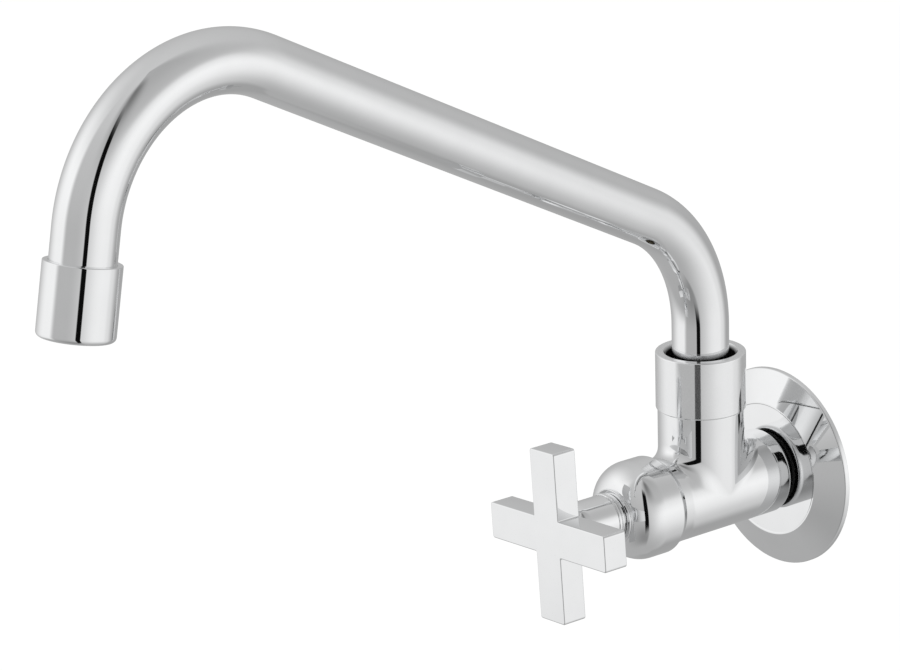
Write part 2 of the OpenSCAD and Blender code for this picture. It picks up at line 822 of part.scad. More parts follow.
module aerator_mesh() {
    r = insert_r - insert_wall - fit_gap;
    hole = mesh_pitch * mesh_hole_share;
    half_n = floor((r - insert_wall) / mesh_pitch);
    color([0.7, 0.71, 0.72])
    on_outlet(ledge_at - outlet_lip / 2)
    linear_extrude(mesh_t)
    difference() {
        circle(r = r);
        for (i = [-half_n : half_n], k = [-half_n : half_n])
            if (norm([i, k]) * mesh_pitch < r - insert_wall - hole / 2)
                translate([i * mesh_pitch, k * mesh_pitch])
                    square(hole, center = true);
    }
}

tap_body();
wall_flange();
flange_seal();
bonnet_cover();
headpart_body();
headpart_gasket();
thrust_washer();
spindle();
spindle_clip();
spindle_o_rings();
plunger();
seat_washer();
washer_screw();
cross_handle();
handle_set_screw();
spout_nut();
spout_glide_ring();
spout_ferrule();
spout_o_rings();
spout_tube();
outlet_ferrule();
aerator_housing();
aerator_washer();
aerator_insert();
aerator_mesh();
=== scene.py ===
import math

import bpy
import numpy as np
from bpy.props import FloatProperty, FloatVectorProperty, PointerProperty
from mathutils import Matrix, Vector


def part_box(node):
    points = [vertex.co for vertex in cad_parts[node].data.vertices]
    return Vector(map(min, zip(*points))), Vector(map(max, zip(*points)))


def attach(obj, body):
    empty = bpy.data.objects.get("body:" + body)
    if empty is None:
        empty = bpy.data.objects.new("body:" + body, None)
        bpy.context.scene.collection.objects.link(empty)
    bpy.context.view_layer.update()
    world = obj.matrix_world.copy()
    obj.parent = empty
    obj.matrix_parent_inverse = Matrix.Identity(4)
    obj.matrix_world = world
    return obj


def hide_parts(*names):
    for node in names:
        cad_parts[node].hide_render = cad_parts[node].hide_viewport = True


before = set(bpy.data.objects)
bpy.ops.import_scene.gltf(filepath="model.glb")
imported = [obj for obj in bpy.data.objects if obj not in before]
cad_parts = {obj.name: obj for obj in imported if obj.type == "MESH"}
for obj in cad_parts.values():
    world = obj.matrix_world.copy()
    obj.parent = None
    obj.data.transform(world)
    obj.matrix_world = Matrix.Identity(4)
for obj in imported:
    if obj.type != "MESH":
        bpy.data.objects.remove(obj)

bl_info = {
    "name": "Wall tap",
    "version": (1, 0, 0),
    "blender": (4, 5, 0),
    "location": "3D View > Sidebar > Wall tap",
    "description": "Builds the finished pieces of a chrome wall tap around its frame",
    "category": "Object",
}

MM = 0.001


def sizes_of(name):
    """Lowest corner, highest corner and middle of a node of the frame, as arrays."""
    low, high = (np.array(corner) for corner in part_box(name))
    return low, high, (low + high) / 2


# Places and sizes taken from the frame's own nodes; the places are distances out from
# the wall
nut_low, nut_high, nut_mid = sizes_of("spout_nut")
flange_low, flange_high, _ = sizes_of("wall_flange")
cover_low, cover_high, _ = sizes_of("bonnet_cover")
cross_low, cross_high, _ = sizes_of("cross_handle")
_, body_high, _ = sizes_of("tap_body")

RISER_AT = -nut_mid[1]
JOINT_AT = -cover_high[1]
NOSE_AT = -cover_low[1]
FRONT_AT = -cross_low[1]
HUB_AT = -cross_high[1]


# ---------------- shapes


def rounded(corners, radii, steps):
    """A closed outline with its corners rounded, by radii in millimetres. At each
    corner the arc touches both sides: its centre lies on the corner's bisector, and
    its radius vector turns evenly from one point of contact to the other. A point is
    kept a hair before and after each arc, so that the flats beside it shade flat. A
    corner so has steps + 3 points. Where only a part of an outline is wanted, the
    caller slices off the corners that give its ends their direction."""
    hair, tiny = 0.03 * MM, 1e-9
    p = np.asarray(corners, float)
    r = np.broadcast_to(np.asarray(radii, float) * MM, (len(p),))[:, None]
    back = np.roll(p, 1, 0) - p
    ahead = np.roll(p, -1, 0) - p
    back /= np.linalg.norm(back, axis=1, keepdims=True)
    ahead /= np.linalg.norm(ahead, axis=1, keepdims=True)
    half = np.arccos(np.clip((back * ahead).sum(1, keepdims=True), -1, 1)) / 2
    reach = r / np.tan(half)
    first, last = p + back * reach, p + ahead * reach
    bisector = back + ahead
    bisector /= np.linalg.norm(bisector, axis=1, keepdims=True)
    centre = p + bisector * r / np.sin(half)
    turn = (math.pi - 2 * half)[:, None, :]
    s = np.linspace(0, 1, steps + 1)[None, :, None]
    arc = centre[:, None] + (
        np.sin((1 - s) * turn) * (first - centre)[:, None]
        + np.sin(s * turn) * (last - centre)[:, None]
    ) / np.maximum(np.sin(turn), tiny)
    pad = np.where(r > 0, hair, 0)
    ends = (first + back * pad)[:, None], (last + ahead * pad)[:, None]
    return np.concatenate([ends[0], arc, ends[1]], 1).reshape(-1, 2)


def circle_angles(count):
    """Angles of a full circle in even steps, without the closing one."""
    return np.arange(count) * (2 * math.pi / count)


def about_wall(r, at, angle):
    """Points at a radius r around the body's axis and a distance at out from the
    wall; the angle runs from straight up towards +X."""
    r, at, angle = np.broadcast_arrays(r, at, angle)
    return np.stack([r * np.sin(angle), -at, r * np.cos(angle)], -1)


def about_riser(r, z, angle):
    """Points at a radius r around the riser's axis and a height z; the angle runs
    from straight out of the wall towards +X."""
    r, z, angle = np.broadcast_arrays(r, z, angle)
    return np.stack([r * np.sin(angle), -RISER_AT - r * np.cos(angle), z], -1)


def turned(profile, angles, about):
    """Surface of revolution: a profile of (radius, place) pairs carried round an
    axis, as a grid of one row per profile point and one column per angle."""
    profile = np.asarray(profile, float)
    return about(profile[:, None, 0], profile[:, None, 1], angles[None, :])


def blend_rows(first, last, shares):
    """Rows of points on the straight lines from one row to another."""
    s = np.asarray(shares, float)[:, None, None]
    return first[None] * (1 - s) + last[None] * s


def weld(grids):
    """Puts grids of points together, each given with whether its rows and its columns
    close up, and joins neighbours by quads. Corners in one place become one, a quad
    with two such corners becomes a triangle, and one with no area is left out. A place
    is a cell far smaller than any feature, of a size that no corner's place is a
    multiple of."""
    cell, shift = 1.3717e-7, 0.3
    points, quads, start = [], [], 0
    for grid, close_rows, close_columns in grids:
        rows, columns = grid.shape[:2]
        index = np.arange(rows * columns).reshape(rows, columns) + start
        index = np.pad(index, ((0, close_rows), (0, close_columns)), "wrap")
        corners = index[:-1, :-1], index[1:, :-1], index[1:, 1:], index[:-1, 1:]
        quads.append(np.stack(corners, -1).reshape(-1, 4))
        points.append(grid.reshape(-1, 3))
        start += rows * columns
    points, quads = np.concatenate(points), np.concatenate(quads)
    key = np.round(points / cell + shift).astype(np.int64)
    _, first, place = np.unique(key, axis=0, return_index=True, return_inverse=True)
    faces = place.reshape(-1)[quads]
    same = faces == np.roll(faces, -1, axis=1)
    whole, bent = (faces[same.sum(1) == count] for count in (0, 1))
    drop = same[same.sum(1) == 1].argmax(1)[:, None]
    return points[first], whole, np.take_along_axis(bent, (drop + [[1, 2, 3]]) % 4, 1)


def signed_volume(points, whole, thirds):
    """Sum over all triangles of a sixth of the corner vectors' triple product."""
    tri = np.concatenate([thirds, whole[:, :3], whole[:, [0, 2, 3]]])
    a, b, c = points[tri[:, 0]], points[tri[:, 1]], points[tri[:, 2]]
    return (np.cross(a, b) * c).sum() / 6


def added(name, data):
    """Makes an object of a mesh, camera or lamp and puts it in the scene."""
    made = bpy.data.objects.new(name, data)
    bpy.context.scene.collection.objects.link(made)
    return made


def piece(name, grids, body, kind, replaces=(), painted_shade=None):
    """Makes a mesh object of welded grids, smooth and with its faces outwards, gives
    it a kind of finish and fixes it to a body of the frame. Its last argument, a
    function, gives each point a share of painted shade, near black and rough, kept as an
    attribute."""
    points, whole, thirds = weld(grids)
    if signed_volume(points, whole, thirds) < 0:
        whole, thirds = whole[:, ::-1], thirds[:, ::-1]
    mesh = bpy.data.meshes.new(name)
    mesh.from_pydata(points, [], whole.tolist() + thirds.tolist())
    mesh.shade_smooth()
    if mesh.validate():
        raise RuntimeError(f"{name} has faces that Blender can't use")
    mesh.materials.append(finish(kind))
    # Each point's share of painted shade, kept as an attribute that the finish reads
    if painted_shade:
        share = mesh.attributes.new("painted_shade", "FLOAT", "POINT")
        share.data.foreach_set("value", painted_shade(points).astype(np.float32))
    made = added(name, mesh)
    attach(made, body)
    if replaces:
        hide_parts(*replaces)
    return made


# ---------------- sizes


def length(name, description, default, low=0, high=1000):
    """A length property, whose default and limits are given in millimetres."""
    return FloatProperty(
        name=name, description=description, default=default * MM, min=low * MM,
        max=high * MM, unit="LENGTH", subtype="DISTANCE", precision=5)


def colour(name, description, default):
    """A colour property."""
    return FloatVectorProperty(
        name=name, description=description, default=default, size=3, min=0, max=1,
        subtype="COLOR")


def point(name, description, default):
    """A place property, in metres."""
    return FloatVectorProperty(
        name=name, description=description, default=default, size=len(default),
        unit="LENGTH")


def turn(name, description, degrees):
    """An angle property, given in degrees."""
    return FloatProperty(
        name=name, description=description, default=math.radians(degrees),
        unit="ROTATION", subtype="ANGLE")


class BodySizes(bpy.types.PropertyGroup):
    """Sizes of the tap's body"""

    barrel_radius: length("Barrel radius", "Radius of the body's barrel", 14.6)
    branch_radius: length("Branch radius", "Radius of the upright branch", 14.5)
    branch_top: length("Branch top", "Height of the branch's shoulder", 29.4)
    fillet: length("Front rounding", "Rounding at the branch's foot, in front", 4)
    rear_fillet: length("Rear rounding", "Rounding at the branch's foot, behind", 8)
    side_fillet: length("Side rounding", "Rounding at the branch's foot, beside it", 14)
    rear_at: length("Rear face", "Distance of the barrel's rear face from the wall", 7.2)
    rear_round: length("Rear edge", "Rounding of the barrel's rear edge", 2)
    joint_radius: length("Front rim", "Radius of the front rim", 15.08)
    flare: length("Flare", "Length of the flare up to the front rim", 4.1)
    thread_radius: length("Inlet thread", "Radius over the inlet thread", 10.4775)
    thread_pitch: length("Thread pitch", "Rise of the inlet thread in one turn", 1.814)
    thread_depth: length("Thread depth", "Depth of the inlet thread", 1.1)


class FlangeSizes(bpy.types.PropertyGroup):
    """Sizes of the wall flange"""

    radius: length("Radius", "Outer radius of the flange", flange_high[0] / MM)
    rim: length("Rim", "Height of the upright rim", 1.8)
    face_radius: length("Face radius", "Radius of the flat face", 22.8)
    face_at: length("Face height", "Height of the flat face", 5.7)
    sheet: length("Sheet", "Thickness of the pressed sheet", 1)
    hole: length("Hole", "Radius of the hole", 10.78)


class CoverSizes(bpy.types.PropertyGroup):
    """Sizes of the bonnet cover"""

    radius: length("Radius", "Outer radius of the cover", cover_high[0] / MM + 0.4)
    chamfer: length("Chamfer", "Length of the chamfer at the rear edge", 2.4)
    dome: length("Dome", "Radius of the domed shoulder", 9.8)
    nose: length("Nose", "Radius of the nose ring", 9.4)
    nose_rise: length("Nose rise", "Height of the nose ring", 0.9)


class CrossSizes(bpy.types.PropertyGroup):
    """Sizes of the cross handle"""

    span: length("Span", "Length of the cross from end to end", 58.2)
    width: length("Width", "Width of each arm", 12.4)
    depth: length("Depth", "Depth of each arm", 9)
    edge: length("Edge", "Rounding of the cross's edges", 0.4)
    corner: length("Corner", "Rounding of the corners at the arms' ends", 0.9)
    hub: length("Hub", "Radius of the hub", 8.3)
    closed: turn("Turn", "Turn of the closed cross from upright", 4)


class SpoutSizes(bpy.types.PropertyGroup):
    """Sizes of the spout"""

    radius: length("Radius", "Outer radius of the tube", 9.525)
    wall: length("Wall", "Wall of the tube", 1.2)
    foot: length("Foot", "Height of the tube's lower end", 29.9)
    riser: length("Riser", "Height where the first bend starts", nut_high[2] / MM + 9.07)
    low_bend: length("First bend", "Centreline radius of the first bend", 47.7)
    rise: turn("Rise", "Rise of the straight arm", 26.2)
    arm: length("Arm", "Length of the straight arm", 176)
    high_bend: length("Second bend", "Centreline radius of the second bend", 46.9)
    lean: turn("Lean", "Lean of the outlet from plumb", 11.5)
    outlet: length("Outlet", "Straight tube above the aerator", 9.6)
    turned: turn("Swing", "Swing of the spout from straight out", 6.6)
    housing: length("Aerator", "Length of the aerator housing", 21.5)
    housing_radius: length("Aerator radius", "Radius of the aerator housing", 11.195)


class Finishes(bpy.types.PropertyGroup):
    """Colours of the finishes"""

    chrome: colour("Chrome", "Reflected colour of the chrome plate", (0.86, 0.865, 0.87))
    brass: colour("Brass", "Colour of the machined brass", (0.78, 0.6, 0.27))
    dull_brass: colour("Dull brass", "Colour of the ferrule's tarnished brass",
                       (0.1, 0.085, 0.06))
    steel: colour("Steel", "Colour of the plain steel", (0.56, 0.56, 0.57))
    rubber: colour("Rubber", "Colour of the black rubber", (0.018, 0.018, 0.019))
    seal: colour("Seal", "Colour of the grey rubber seal", (0.06, 0.06, 0.063))
    fibre: colour("Fibre", "Colour of the fibre gasket", (0.32, 0.07, 0.04))
    nylon: colour("Nylon", "Colour of the natural nylon", (0.82, 0.8, 0.72))
    plastic: colour("Plastic", "Colour of the aerator's insert", (0.78, 0.78, 0.76))


class StageSizes(bpy.types.PropertyGroup):
    """Place of the camera and level of the light"""

    azimuth: turn("Azimuth", "Camera's turn from straight in front", 52.773)
    elevation: turn("Elevation", "Camera's height above the horizon", 17.465)
    roll: turn("Roll", "Camera's roll", -1.827)
    distance: length("Distance", "Camera's distance from its target", 1197.924, 100, 10000)
    target: point("Target", "Point that the camera looks at",
                  (-0.137314, -0.035668, 0.022485))
    lens: FloatProperty(name="Lens", description="Focal length on a sensor 36 mm wide",
                        default=130.659, unit="CAMERA")
    floor: length("Floor", "Height of the floor", -600, -5000)
    centre: point("Centre", "Middle of the tap, from which the studio is seen",
                  (0.01, -0.14, 0.06))
    gap_left: point("Gap's left", "Left edge of the dark gap between the soft boxes",
                    (0.269, -0.462))
    gap_right: point("Gap's right", "Right edge of the dark gap between the soft boxes",
                     (0.481, -0.456))
    gap_low: length("Gap's low end", "Lower end of the dark gap", -450, -5000, 5000)
    gap_high: length("Gap's high end", "Upper end of the dark gap", 850, -5000, 5000)
    right_box: point("Right box", "Place of the right soft box", (1.6, -0.2, 0.2))
    left_box: point("Left box", "Place of the left soft box", (-1.3, -1.3, 0.5))
    lamp_size: length("Lamp size", "Side of each soft box", 1200, 100, 5000)
    lamp_power: FloatProperty(name="Lamps", description="Power of each soft box",
                              default=6.0, unit="POWER")


# ---------------- finishes


WHITE = (1, 1, 1, 1)
SOCKETS = {float: "NodeSocketFloat", tuple: "NodeSocketColor",
           type(None): "NodeSocketVector"}

# Each finish: its name, the property that holds its colour, how metallic it is, its
# lowest and highest roughness, how far its two shades lie apart and the strength of
# its bump. Then, where they differ from the usual: the sizes of its cloud and specks,
# the grooves of a lathe, and whether it takes painted shade in hollows, near black and
# rough.
FINISHES = {
    "chrome": ("Polished chrome", "chrome", 1, 0.02, 0.05, 0.01, 0.02, {"shade_in_hollows": True}),
    "soft chrome": ("Soft chrome", "chrome", 0.87, 0.04, 0.08, 0.01, 0.02,
                    {"shade_in_hollows": True}),
    "brass": ("Machined brass", "brass", 1, 0.2, 0.34, 0.08, 0.25, {"grooves": 700}),
    "dull brass": ("Tarnished brass", "dull_brass", 1, 0.3, 0.5, 0.08, 0.25,
                   {"grooves": 700}),
    "steel": ("Plain steel", "steel", 1, 0.25, 0.4, 0.05, 0.1, {}),
    "rubber": ("Black rubber", "rubber", 0, 0.5, 0.7, 0.2, 0.25,
               {"cloud": 400, "speck": 3000}),
    "seal": ("Grey rubber", "seal", 0, 0.6, 0.8, 0.2, 0.3, {"cloud": 350, "speck": 2500}),
    "fibre": ("Pressed fibre", "fibre", 0, 0.6, 0.85, 0.25, 0.4,
              {"cloud": 500, "speck": 2500}),
    "nylon": ("Natural nylon", "nylon", 0, 0.35, 0.5, 0.05, 0.1, {"cloud": 200}),
    "plastic": ("White plastic", "plastic", 0, 0.25, 0.35, 0.03, 0.08, {"cloud": 200}),
}
# How fine the usual cloud and specks are, and a tint's cloud against the others
CLOUD, SPECK, TINT_SCALE = 60, 1500, 1.7
CLOUD_SHARE, SPECK_SHARE = 0.75, 0.25
# The middle part of a noise, where nearly all of its values lie
NOISE = {"From Min": 0.35, "From Max": 0.65}
HANDLING_NOISE = {"From Min": 0.35, "From Max": 0.7}
# Painted shade in hollows and crevices: a near-black colour, with a higher roughness
PAINTED_SHADE_COLOUR, HOLLOW_ROUGHNESS = (0.02, 0.02, 0.02, 1), 0.5
RELIEF = 0.05 * MM

# The frame's own pieces by finish; where a finished piece stands in for one of them,
# it has the same finish
NODE_FINISHES = {
    "chrome": ["outlet_ferrule", "tap_body", "wall_flange", "bonnet_cover", "cross_handle",
               "spout_nut", "spout_tube", "aerator_housing"],
    "brass": ["headpart_body", "spindle", "plunger", "washer_screw"],
    "dull brass": ["spout_ferrule"],
    "steel": ["spindle_clip", "handle_set_screw", "aerator_mesh"],
    "rubber": ["spindle_o_rings", "spout_o_rings", "seat_washer", "aerator_washer"],
    "seal": ["flange_seal"],
    "fibre": ["headpart_gasket"],
    "nylon": ["thrust_washer", "spout_glide_ring"],
    "plastic": ["aerator_insert"],
}


def feed(tree, made, inputs):
    """Links each named or numbered input of a node to a socket, or sets its value."""
    for key, value in inputs.items():
        if isinstance(value, bpy.types.NodeSocket):
            tree.links.new(value, made.inputs[key])
        else:
            made.inputs[key].default_value = value


def node(tree, kind, inputs=None, **values):
    """Adds a shader node, in columns from left to right, sets its plain properties,
    feeds its inputs and returns its outputs."""
    column, row = divmod(len(tree.nodes), 4)
    made = tree.nodes.new(kind)
    made.location = 220 * column - 1500, 400 - 280 * row
    for key, value in values.items():
        setattr(made, key, value)
    feed(tree, made, inputs or {})
    return made.outputs


def maths(tree, operation, *values):
    """Result of one step of arithmetic in a node tree."""
    return node(tree, "ShaderNodeMath", dict(enumerate(values)), operation=operation)[0]


def start_group(name, inputs):
    """Starts a shader group. Its inputs are named with their defaults: a number, a
    colour, or None for a vector. Returns the group and the sockets that they feed."""
    group = bpy.data.node_groups.new(name, "ShaderNodeTree")
    for title, default in inputs.items():
        socket = group.interface.new_socket(
            name=title, in_out="INPUT", socket_type=SOCKETS[type(default)])
        if default is not None:
            socket.default_value = default
    return group, node(group, "NodeGroupInput")


def end_group(group, kind, **results):
    """Gives a shader group its outputs, which are all numbers (float) or colours
    (tuple)."""
    for title in results:
        group.interface.new_socket(name=title, in_out="OUTPUT", socket_type=SOCKETS[kind])
    node(group, "NodeGroupOutput", results)
    return group


def handling_group():
    """Faint marks of handling on a polished face: a soft large cloud and fine
    specks, as a roughness and a height."""
    group, given = start_group("Handling", {
        "Vector": None, "Cloud size": float(CLOUD), "Speck size": float(SPECK), "Low": 0.03,
        "High": 0.08})
    cloud = node(group, "ShaderNodeTexNoise", {
        "Vector": given["Vector"], "Scale": given["Cloud size"], "Detail": 3})["Fac"]
    speck = node(group, "ShaderNodeTexNoise", {
        "Vector": given["Vector"], "Scale": given["Speck size"], "Detail": 2})["Fac"]
    both = maths(group, "MULTIPLY_ADD", cloud, CLOUD_SHARE,
                 maths(group, "MULTIPLY", speck, SPECK_SHARE))
    rough = node(group, "ShaderNodeMapRange", {
        "Value": both, **HANDLING_NOISE, "To Min": given["Low"],
        "To Max": given["High"]})[0]
    return end_group(group, float, Roughness=rough, Height=cloud)


def tint_group():
    """Two shades of one colour, mixed by a soft noise."""
    group, given = start_group("Tint", {
        "Vector": None, "Size": 40.0, "Dark": (0.5, 0.5, 0.5, 1),
        "Light": (0.6, 0.6, 0.6, 1)})
    noise = node(group, "ShaderNodeTexNoise", {
        "Vector": given["Vector"], "Scale": given["Size"], "Detail": 4})["Fac"]
    share = node(group, "ShaderNodeMapRange", {"Value": noise, **NOISE})[0]
    return end_group(group, tuple, Color=mixed(group, share, given["Dark"], given["Light"]))


def lathe_group():
    """Fine grooves of a lathe: a wave that runs with the distance along one axis,
    broken up a little by noise, as a height."""
    group, given = start_group("Lathe", {"Vector": None, "Grooves": 900.0})
    wave = node(group, "ShaderNodeTexWave", {
        "Vector": given["Vector"], "Scale": given["Grooves"], "Distortion": 0.6,
        "Detail": 1}, bands_direction="Y")
    return end_group(group, float, Height=wave["Fac"])


def mixed(tree, share, first, last, kind="RGBA"):
    """A mix of two colours, or of two numbers, by a share."""
    return node(tree, "ShaderNodeMix", {"Factor": share, "A": first, "B": last},
                data_type=kind)["Result"]


def placed_group(tree, name, label="", **inputs):
    """Places one of the shared groups, made when it is first asked for."""
    makers = {"Handling": handling_group, "Tint": tint_group, "Lathe": lathe_group,
              "Soft box": soft_box_group, "Studio light": studio_group}
    group = bpy.data.node_groups.get(name) or makers[name]()
    named = {key.replace("_", " "): value for key, value in inputs.items()}
    return node(tree, "ShaderNodeGroup", named, node_tree=group, label=label)


def new_material(name):
    """A material and its node tree."""
    material = bpy.data.materials.new(name)
    material.use_nodes = True
    return material, material.node_tree


def finish(kind):
    """A finish by its row in the list: two near shades of a colour, a roughness that
    varies by handling, and a fine bump, or the grooves of a lathe. In hollows it has
    painted shade, near black and rough, where the piece's own attribute says so."""
    name, colour_name, metallic, low, high, spread, bump, more = FINISHES[kind]
    found = bpy.data.materials.get(name)
    if found:
        return found
    material, tree = new_material(name)
    rgb = np.array(getattr(bpy.context.scene.tap_finishes, colour_name))
    cloud, speck = more.get("cloud", CLOUD), more.get("speck", SPECK)
    place = node(tree, "ShaderNodeTexCoord")["Object"]
    dark, light = ([*np.minimum(rgb * (1 + way * spread), 1), 1] for way in (-1, 1))
    colour = placed_group(tree, "Tint", Vector=place, Size=cloud * TINT_SCALE,
                          Dark=dark, Light=light)["Color"]
    marks = placed_group(tree, "Handling", Vector=place, Cloud_size=cloud, Speck_size=speck,
                         Low=low, High=high)
    rough, height = marks["Roughness"], marks["Height"]
    if "shade_in_hollows" in more:
        # Painted shade: near black and rough where the piece's attribute is set
        painted_shade = node(tree, "ShaderNodeAttribute", attribute_name="painted_shade")["Fac"]
        colour = mixed(tree, painted_shade, colour, PAINTED_SHADE_COLOUR)
        rough = mixed(tree, painted_shade, rough, HOLLOW_ROUGHNESS, "FLOAT")
    if "grooves" in more:
        grooves = placed_group(tree, "Lathe", Vector=place, Grooves=more["grooves"])
        height = grooves["Height"]
    relief = node(tree, "ShaderNodeBump", {
        "Strength": bump, "Distance": RELIEF, "Height": height})["Normal"]
    feed(tree, tree.nodes["Principled BSDF"], {
        "Base Color": colour, "Metallic": metallic, "Roughness": rough, "Normal": relief})
    return material


# ---------------- studio


# Soft boxes and shades of the studio, as seen from the tap: their weight, then in
# degrees where each starts and is full from the left (0 is straight out from the
# wall, + to the tap's right) and from below
STUDIO = (
    ("Sky", 0.12, (-400, -390, 390, 400), (-53, 96, 100, 110)),
    ("Right box", 0.20, (24, 99, 150, 180), (-80, -12, -5, 36)),
    ("Left box", 0.265, (-115, -46, -24, -6), (-41, -22, 18, 78)),
    ("Right sky", -0.12, (47, 65, 130, 180), (12, 79, 100, 110)),
    ("Above the gap", -0.22, (27, 65, 66, 97), (18, 68, 69, 85)),
    ("Wall side", -0.045, (-400, -390, -140, -110), (-76, -70, -8, 30)),
    ("Wall side", -0.045, (150, 180, 390, 400), (-76, -70, -8, 30)),
    ("Near floor", -0.15, (-53, 48, 49, 60), (-80, -56, -50, -14)),
    ("Right high", 0.09, (69, 117, 134, 150), (-61, 13, 14, 28)),
)
STUDIO_BASE, STUDIO_POWER = 0.70, 2.2
SIDES = ("Left start", "Left full", "Right full", "Right end",
         "Low start", "Low full", "High full", "High end")
FLOOR_COLOUR, FLOOR_ROUGHNESS = (0.8, 0.8, 0.8, 1), 0.9
# How white the camera sees the floor, and the share of that in what it sees
FLOOR_WHITE, FLOOR_SHARE = 1.15, 0.8
# Where the dark gap starts and is full, from each side of its sheet, and its light
GAP_SIDES = (("X", 0, 0.12), ("X", 1, 0.88), ("Y", 0, 0.2), ("Y", 1, 0.7))
GAP_LIGHT = 0.004
SENSOR_WIDTH = 36


def soft_step(tree, value, start, full):
    """A smooth rise from 0 at the start to 1 where it is full."""
    return node(tree, "ShaderNodeMapRange", {
        "Value": value, "From Min": start, "From Max": full},
        interpolation_type="SMOOTHSTEP")[0]


def soft_box_group():
    """A soft-edged box in directions: 1 inside, falling smoothly to 0 between the
    full and the start angle on each of its four sides."""
    group, given = start_group("Soft box", {
        "Turn": 0.0, "Rise": 0.0, "Weight": 1.0, **dict.fromkeys(SIDES, 0.0)})
    light = given["Weight"]
    slopes = ("Turn", 0, 1), ("Turn", 3, 2), ("Rise", 4, 5), ("Rise", 7, 6)
    for angle, start, full in slopes:
        step = soft_step(group, given[angle], given[SIDES[start]], given[SIDES[full]])
        light = maths(group, "MULTIPLY", light, step)
    return end_group(group, float, Light=light)


def studio_group():
    """Light of the whole studio by direction: a base and weighted soft boxes are
    added up, and the sum is raised to a power."""
    group, given = start_group("Studio light", {"Vector": None})
    unit = node(group, "ShaderNodeVectorMath", {0: given["Vector"]}, operation="NORMALIZE")
    way = node(group, "ShaderNodeSeparateXYZ", {0: unit[0]})
    out = maths(group, "MULTIPLY", way["Y"], -1)
    turned_by = maths(group, "DEGREES", maths(group, "ARCTAN2", way["X"], out))
    risen_by = maths(group, "DEGREES", maths(group, "ARCSINE", way["Z"]))
    total = STUDIO_BASE
    for title, weight, across, upward in STUDIO:
        box = placed_group(group, "Soft box", title, Turn=turned_by, Rise=risen_by,
                           Weight=weight, **dict(zip(SIDES, across + upward)))
        total = maths(group, "ADD", box["Light"], total)
    light = maths(group, "POWER", maths(group, "MAXIMUM", total, 0), STUDIO_POWER)
    return end_group(group, float, Light=light)


def by_ray(tree, kind, others, those):
    """Mixes two shaders: rays of the named kind meet the second, all others the first."""
    met = node(tree, "ShaderNodeLightPath")[kind]
    return node(tree, "ShaderNodeMixShader", {0: met, 1: others, 2: those})[0]


def studio_world():
    """White to the camera, and the soft studio to everything else."""
    world = bpy.data.worlds.new("Studio")
    world.use_nodes = True
    tree = world.node_tree
    tree.nodes.clear()
    place = node(tree, "ShaderNodeTexCoord")["Generated"]
    light = placed_group(tree, "Studio light", Vector=place)["Light"]
    soft = node(tree, "ShaderNodeBackground", {"Color": WHITE, "Strength": light})[0]
    plain = node(tree, "ShaderNodeBackground", {"Color": WHITE})[0]
    node(tree, "ShaderNodeOutputWorld",
         {"Surface": by_ray(tree, "Is Camera Ray", soft, plain)})
    return world


def floor_finish(centre):
    """A pale floor: near white with its own soft shadows to the camera, and the
    studio's light, by the direction from the tap, to polished metal."""
    material, tree = new_material("Pale floor")
    principled = tree.nodes["Principled BSDF"]
    feed(tree, principled, {"Base Color": FLOOR_COLOUR, "Roughness": FLOOR_ROUGHNESS})
    matt = principled.outputs[0]
    place = node(tree, "ShaderNodeTexCoord")["Object"]
    from_tap = node(tree, "ShaderNodeVectorMath", {0: place, 1: centre},
                    operation="SUBTRACT")
    light = placed_group(tree, "Studio light", Vector=from_tap[0])["Light"]
    soft = node(tree, "ShaderNodeEmission", {"Strength": light})[0]
    plain = node(tree, "ShaderNodeEmission", {"Strength": FLOOR_WHITE})[0]
    shadowed = node(tree, "ShaderNodeMixShader", {0: FLOOR_SHARE, 1: matt, 2: plain})[0]
    to_metal = by_ray(tree, "Is Glossy Ray", matt, soft)
    feed(tree, tree.nodes["Material Output"],
         {"Surface": by_ray(tree, "Is Camera Ray", to_metal, shadowed)})
    return material


def gap_finish():
    """The dark gap between the soft boxes: black, clear at its soft edges."""
    material, tree = new_material("Dark gap")
    tree.nodes.remove(tree.nodes["Principled BSDF"])
    place = node(tree, "ShaderNodeUVMap", uv_map="sheet")[0]
    way = node(tree, "ShaderNodeSeparateXYZ", {0: place})
    share = 1
    for axis, start, full in GAP_SIDES:
        share = maths(tree, "MULTIPLY", soft_step(tree, way[axis], start, full), share)
    clear = node(tree, "ShaderNodeBsdfTransparent")[0]
    black = node(tree, "ShaderNodeEmission", {"Strength": GAP_LIGHT})[0]
    mix = node(tree, "ShaderNodeMixShader", {0: share, 1: clear, 2: black})[0]
    feed(tree, tree.nodes["Material Output"], {"Surface": mix})
    return material


def flat_sheet(name, corners, material):
    """One four-cornered sheet of the stage, with a UV map from corner to corner."""
    mesh = bpy.data.meshes.new(name)
    mesh.from_pydata(corners, [], [(0, 1, 2, 3)])
    layer = mesh.uv_layers.new(name="sheet")
    layer.uv.foreach_set("vector", [0, 0, 1, 0, 1, 1, 0, 1])
    mesh.materials.append(material)
    return added(name, mesh)


# ---------------- pieces


def spun(name, profile, about, body, kind, replaced, painted_shade=None, count=256):
    """Makes a piece by carrying a closed profile around an axis, in place of one of
    the frame's nodes."""
    grid = turned(profile, circle_angles(count), about)
    return piece(name, [(grid, True, True)], body, kind, [replaced], painted_shade)


def tee_foot(sizes, turn_by):
    """Ball that rolls in the corner between barrel and branch, at turns around the
    branch from straight out of the wall. Its radius grows with the squared cosine
    behind the branch and with the sine's fourth power at the sides. Its centre
    (x, out, z) has x = B sin t, out = B cos t and z = sqrt(A^2 - x^2), where B and A
    are the branch's and the barrel's radius plus the ball's. Returns the ball's
    radius, B, A, x, out and z."""
    behind, beside = np.maximum(-np.cos(turn_by), 0)**2, np.sin(turn_by)**4
    ball = (sizes.fillet + (sizes.rear_fillet - sizes.fillet) * behind
            + (sizes.side_fillet - sizes.fillet) * beside)
    wide, deep = sizes.branch_radius + ball, sizes.barrel_radius + ball
    x, out = wide * np.sin(turn_by), wide * np.cos(turn_by)
    return ball, wide, deep, x, out, np.sqrt(deep**2 - x**2)


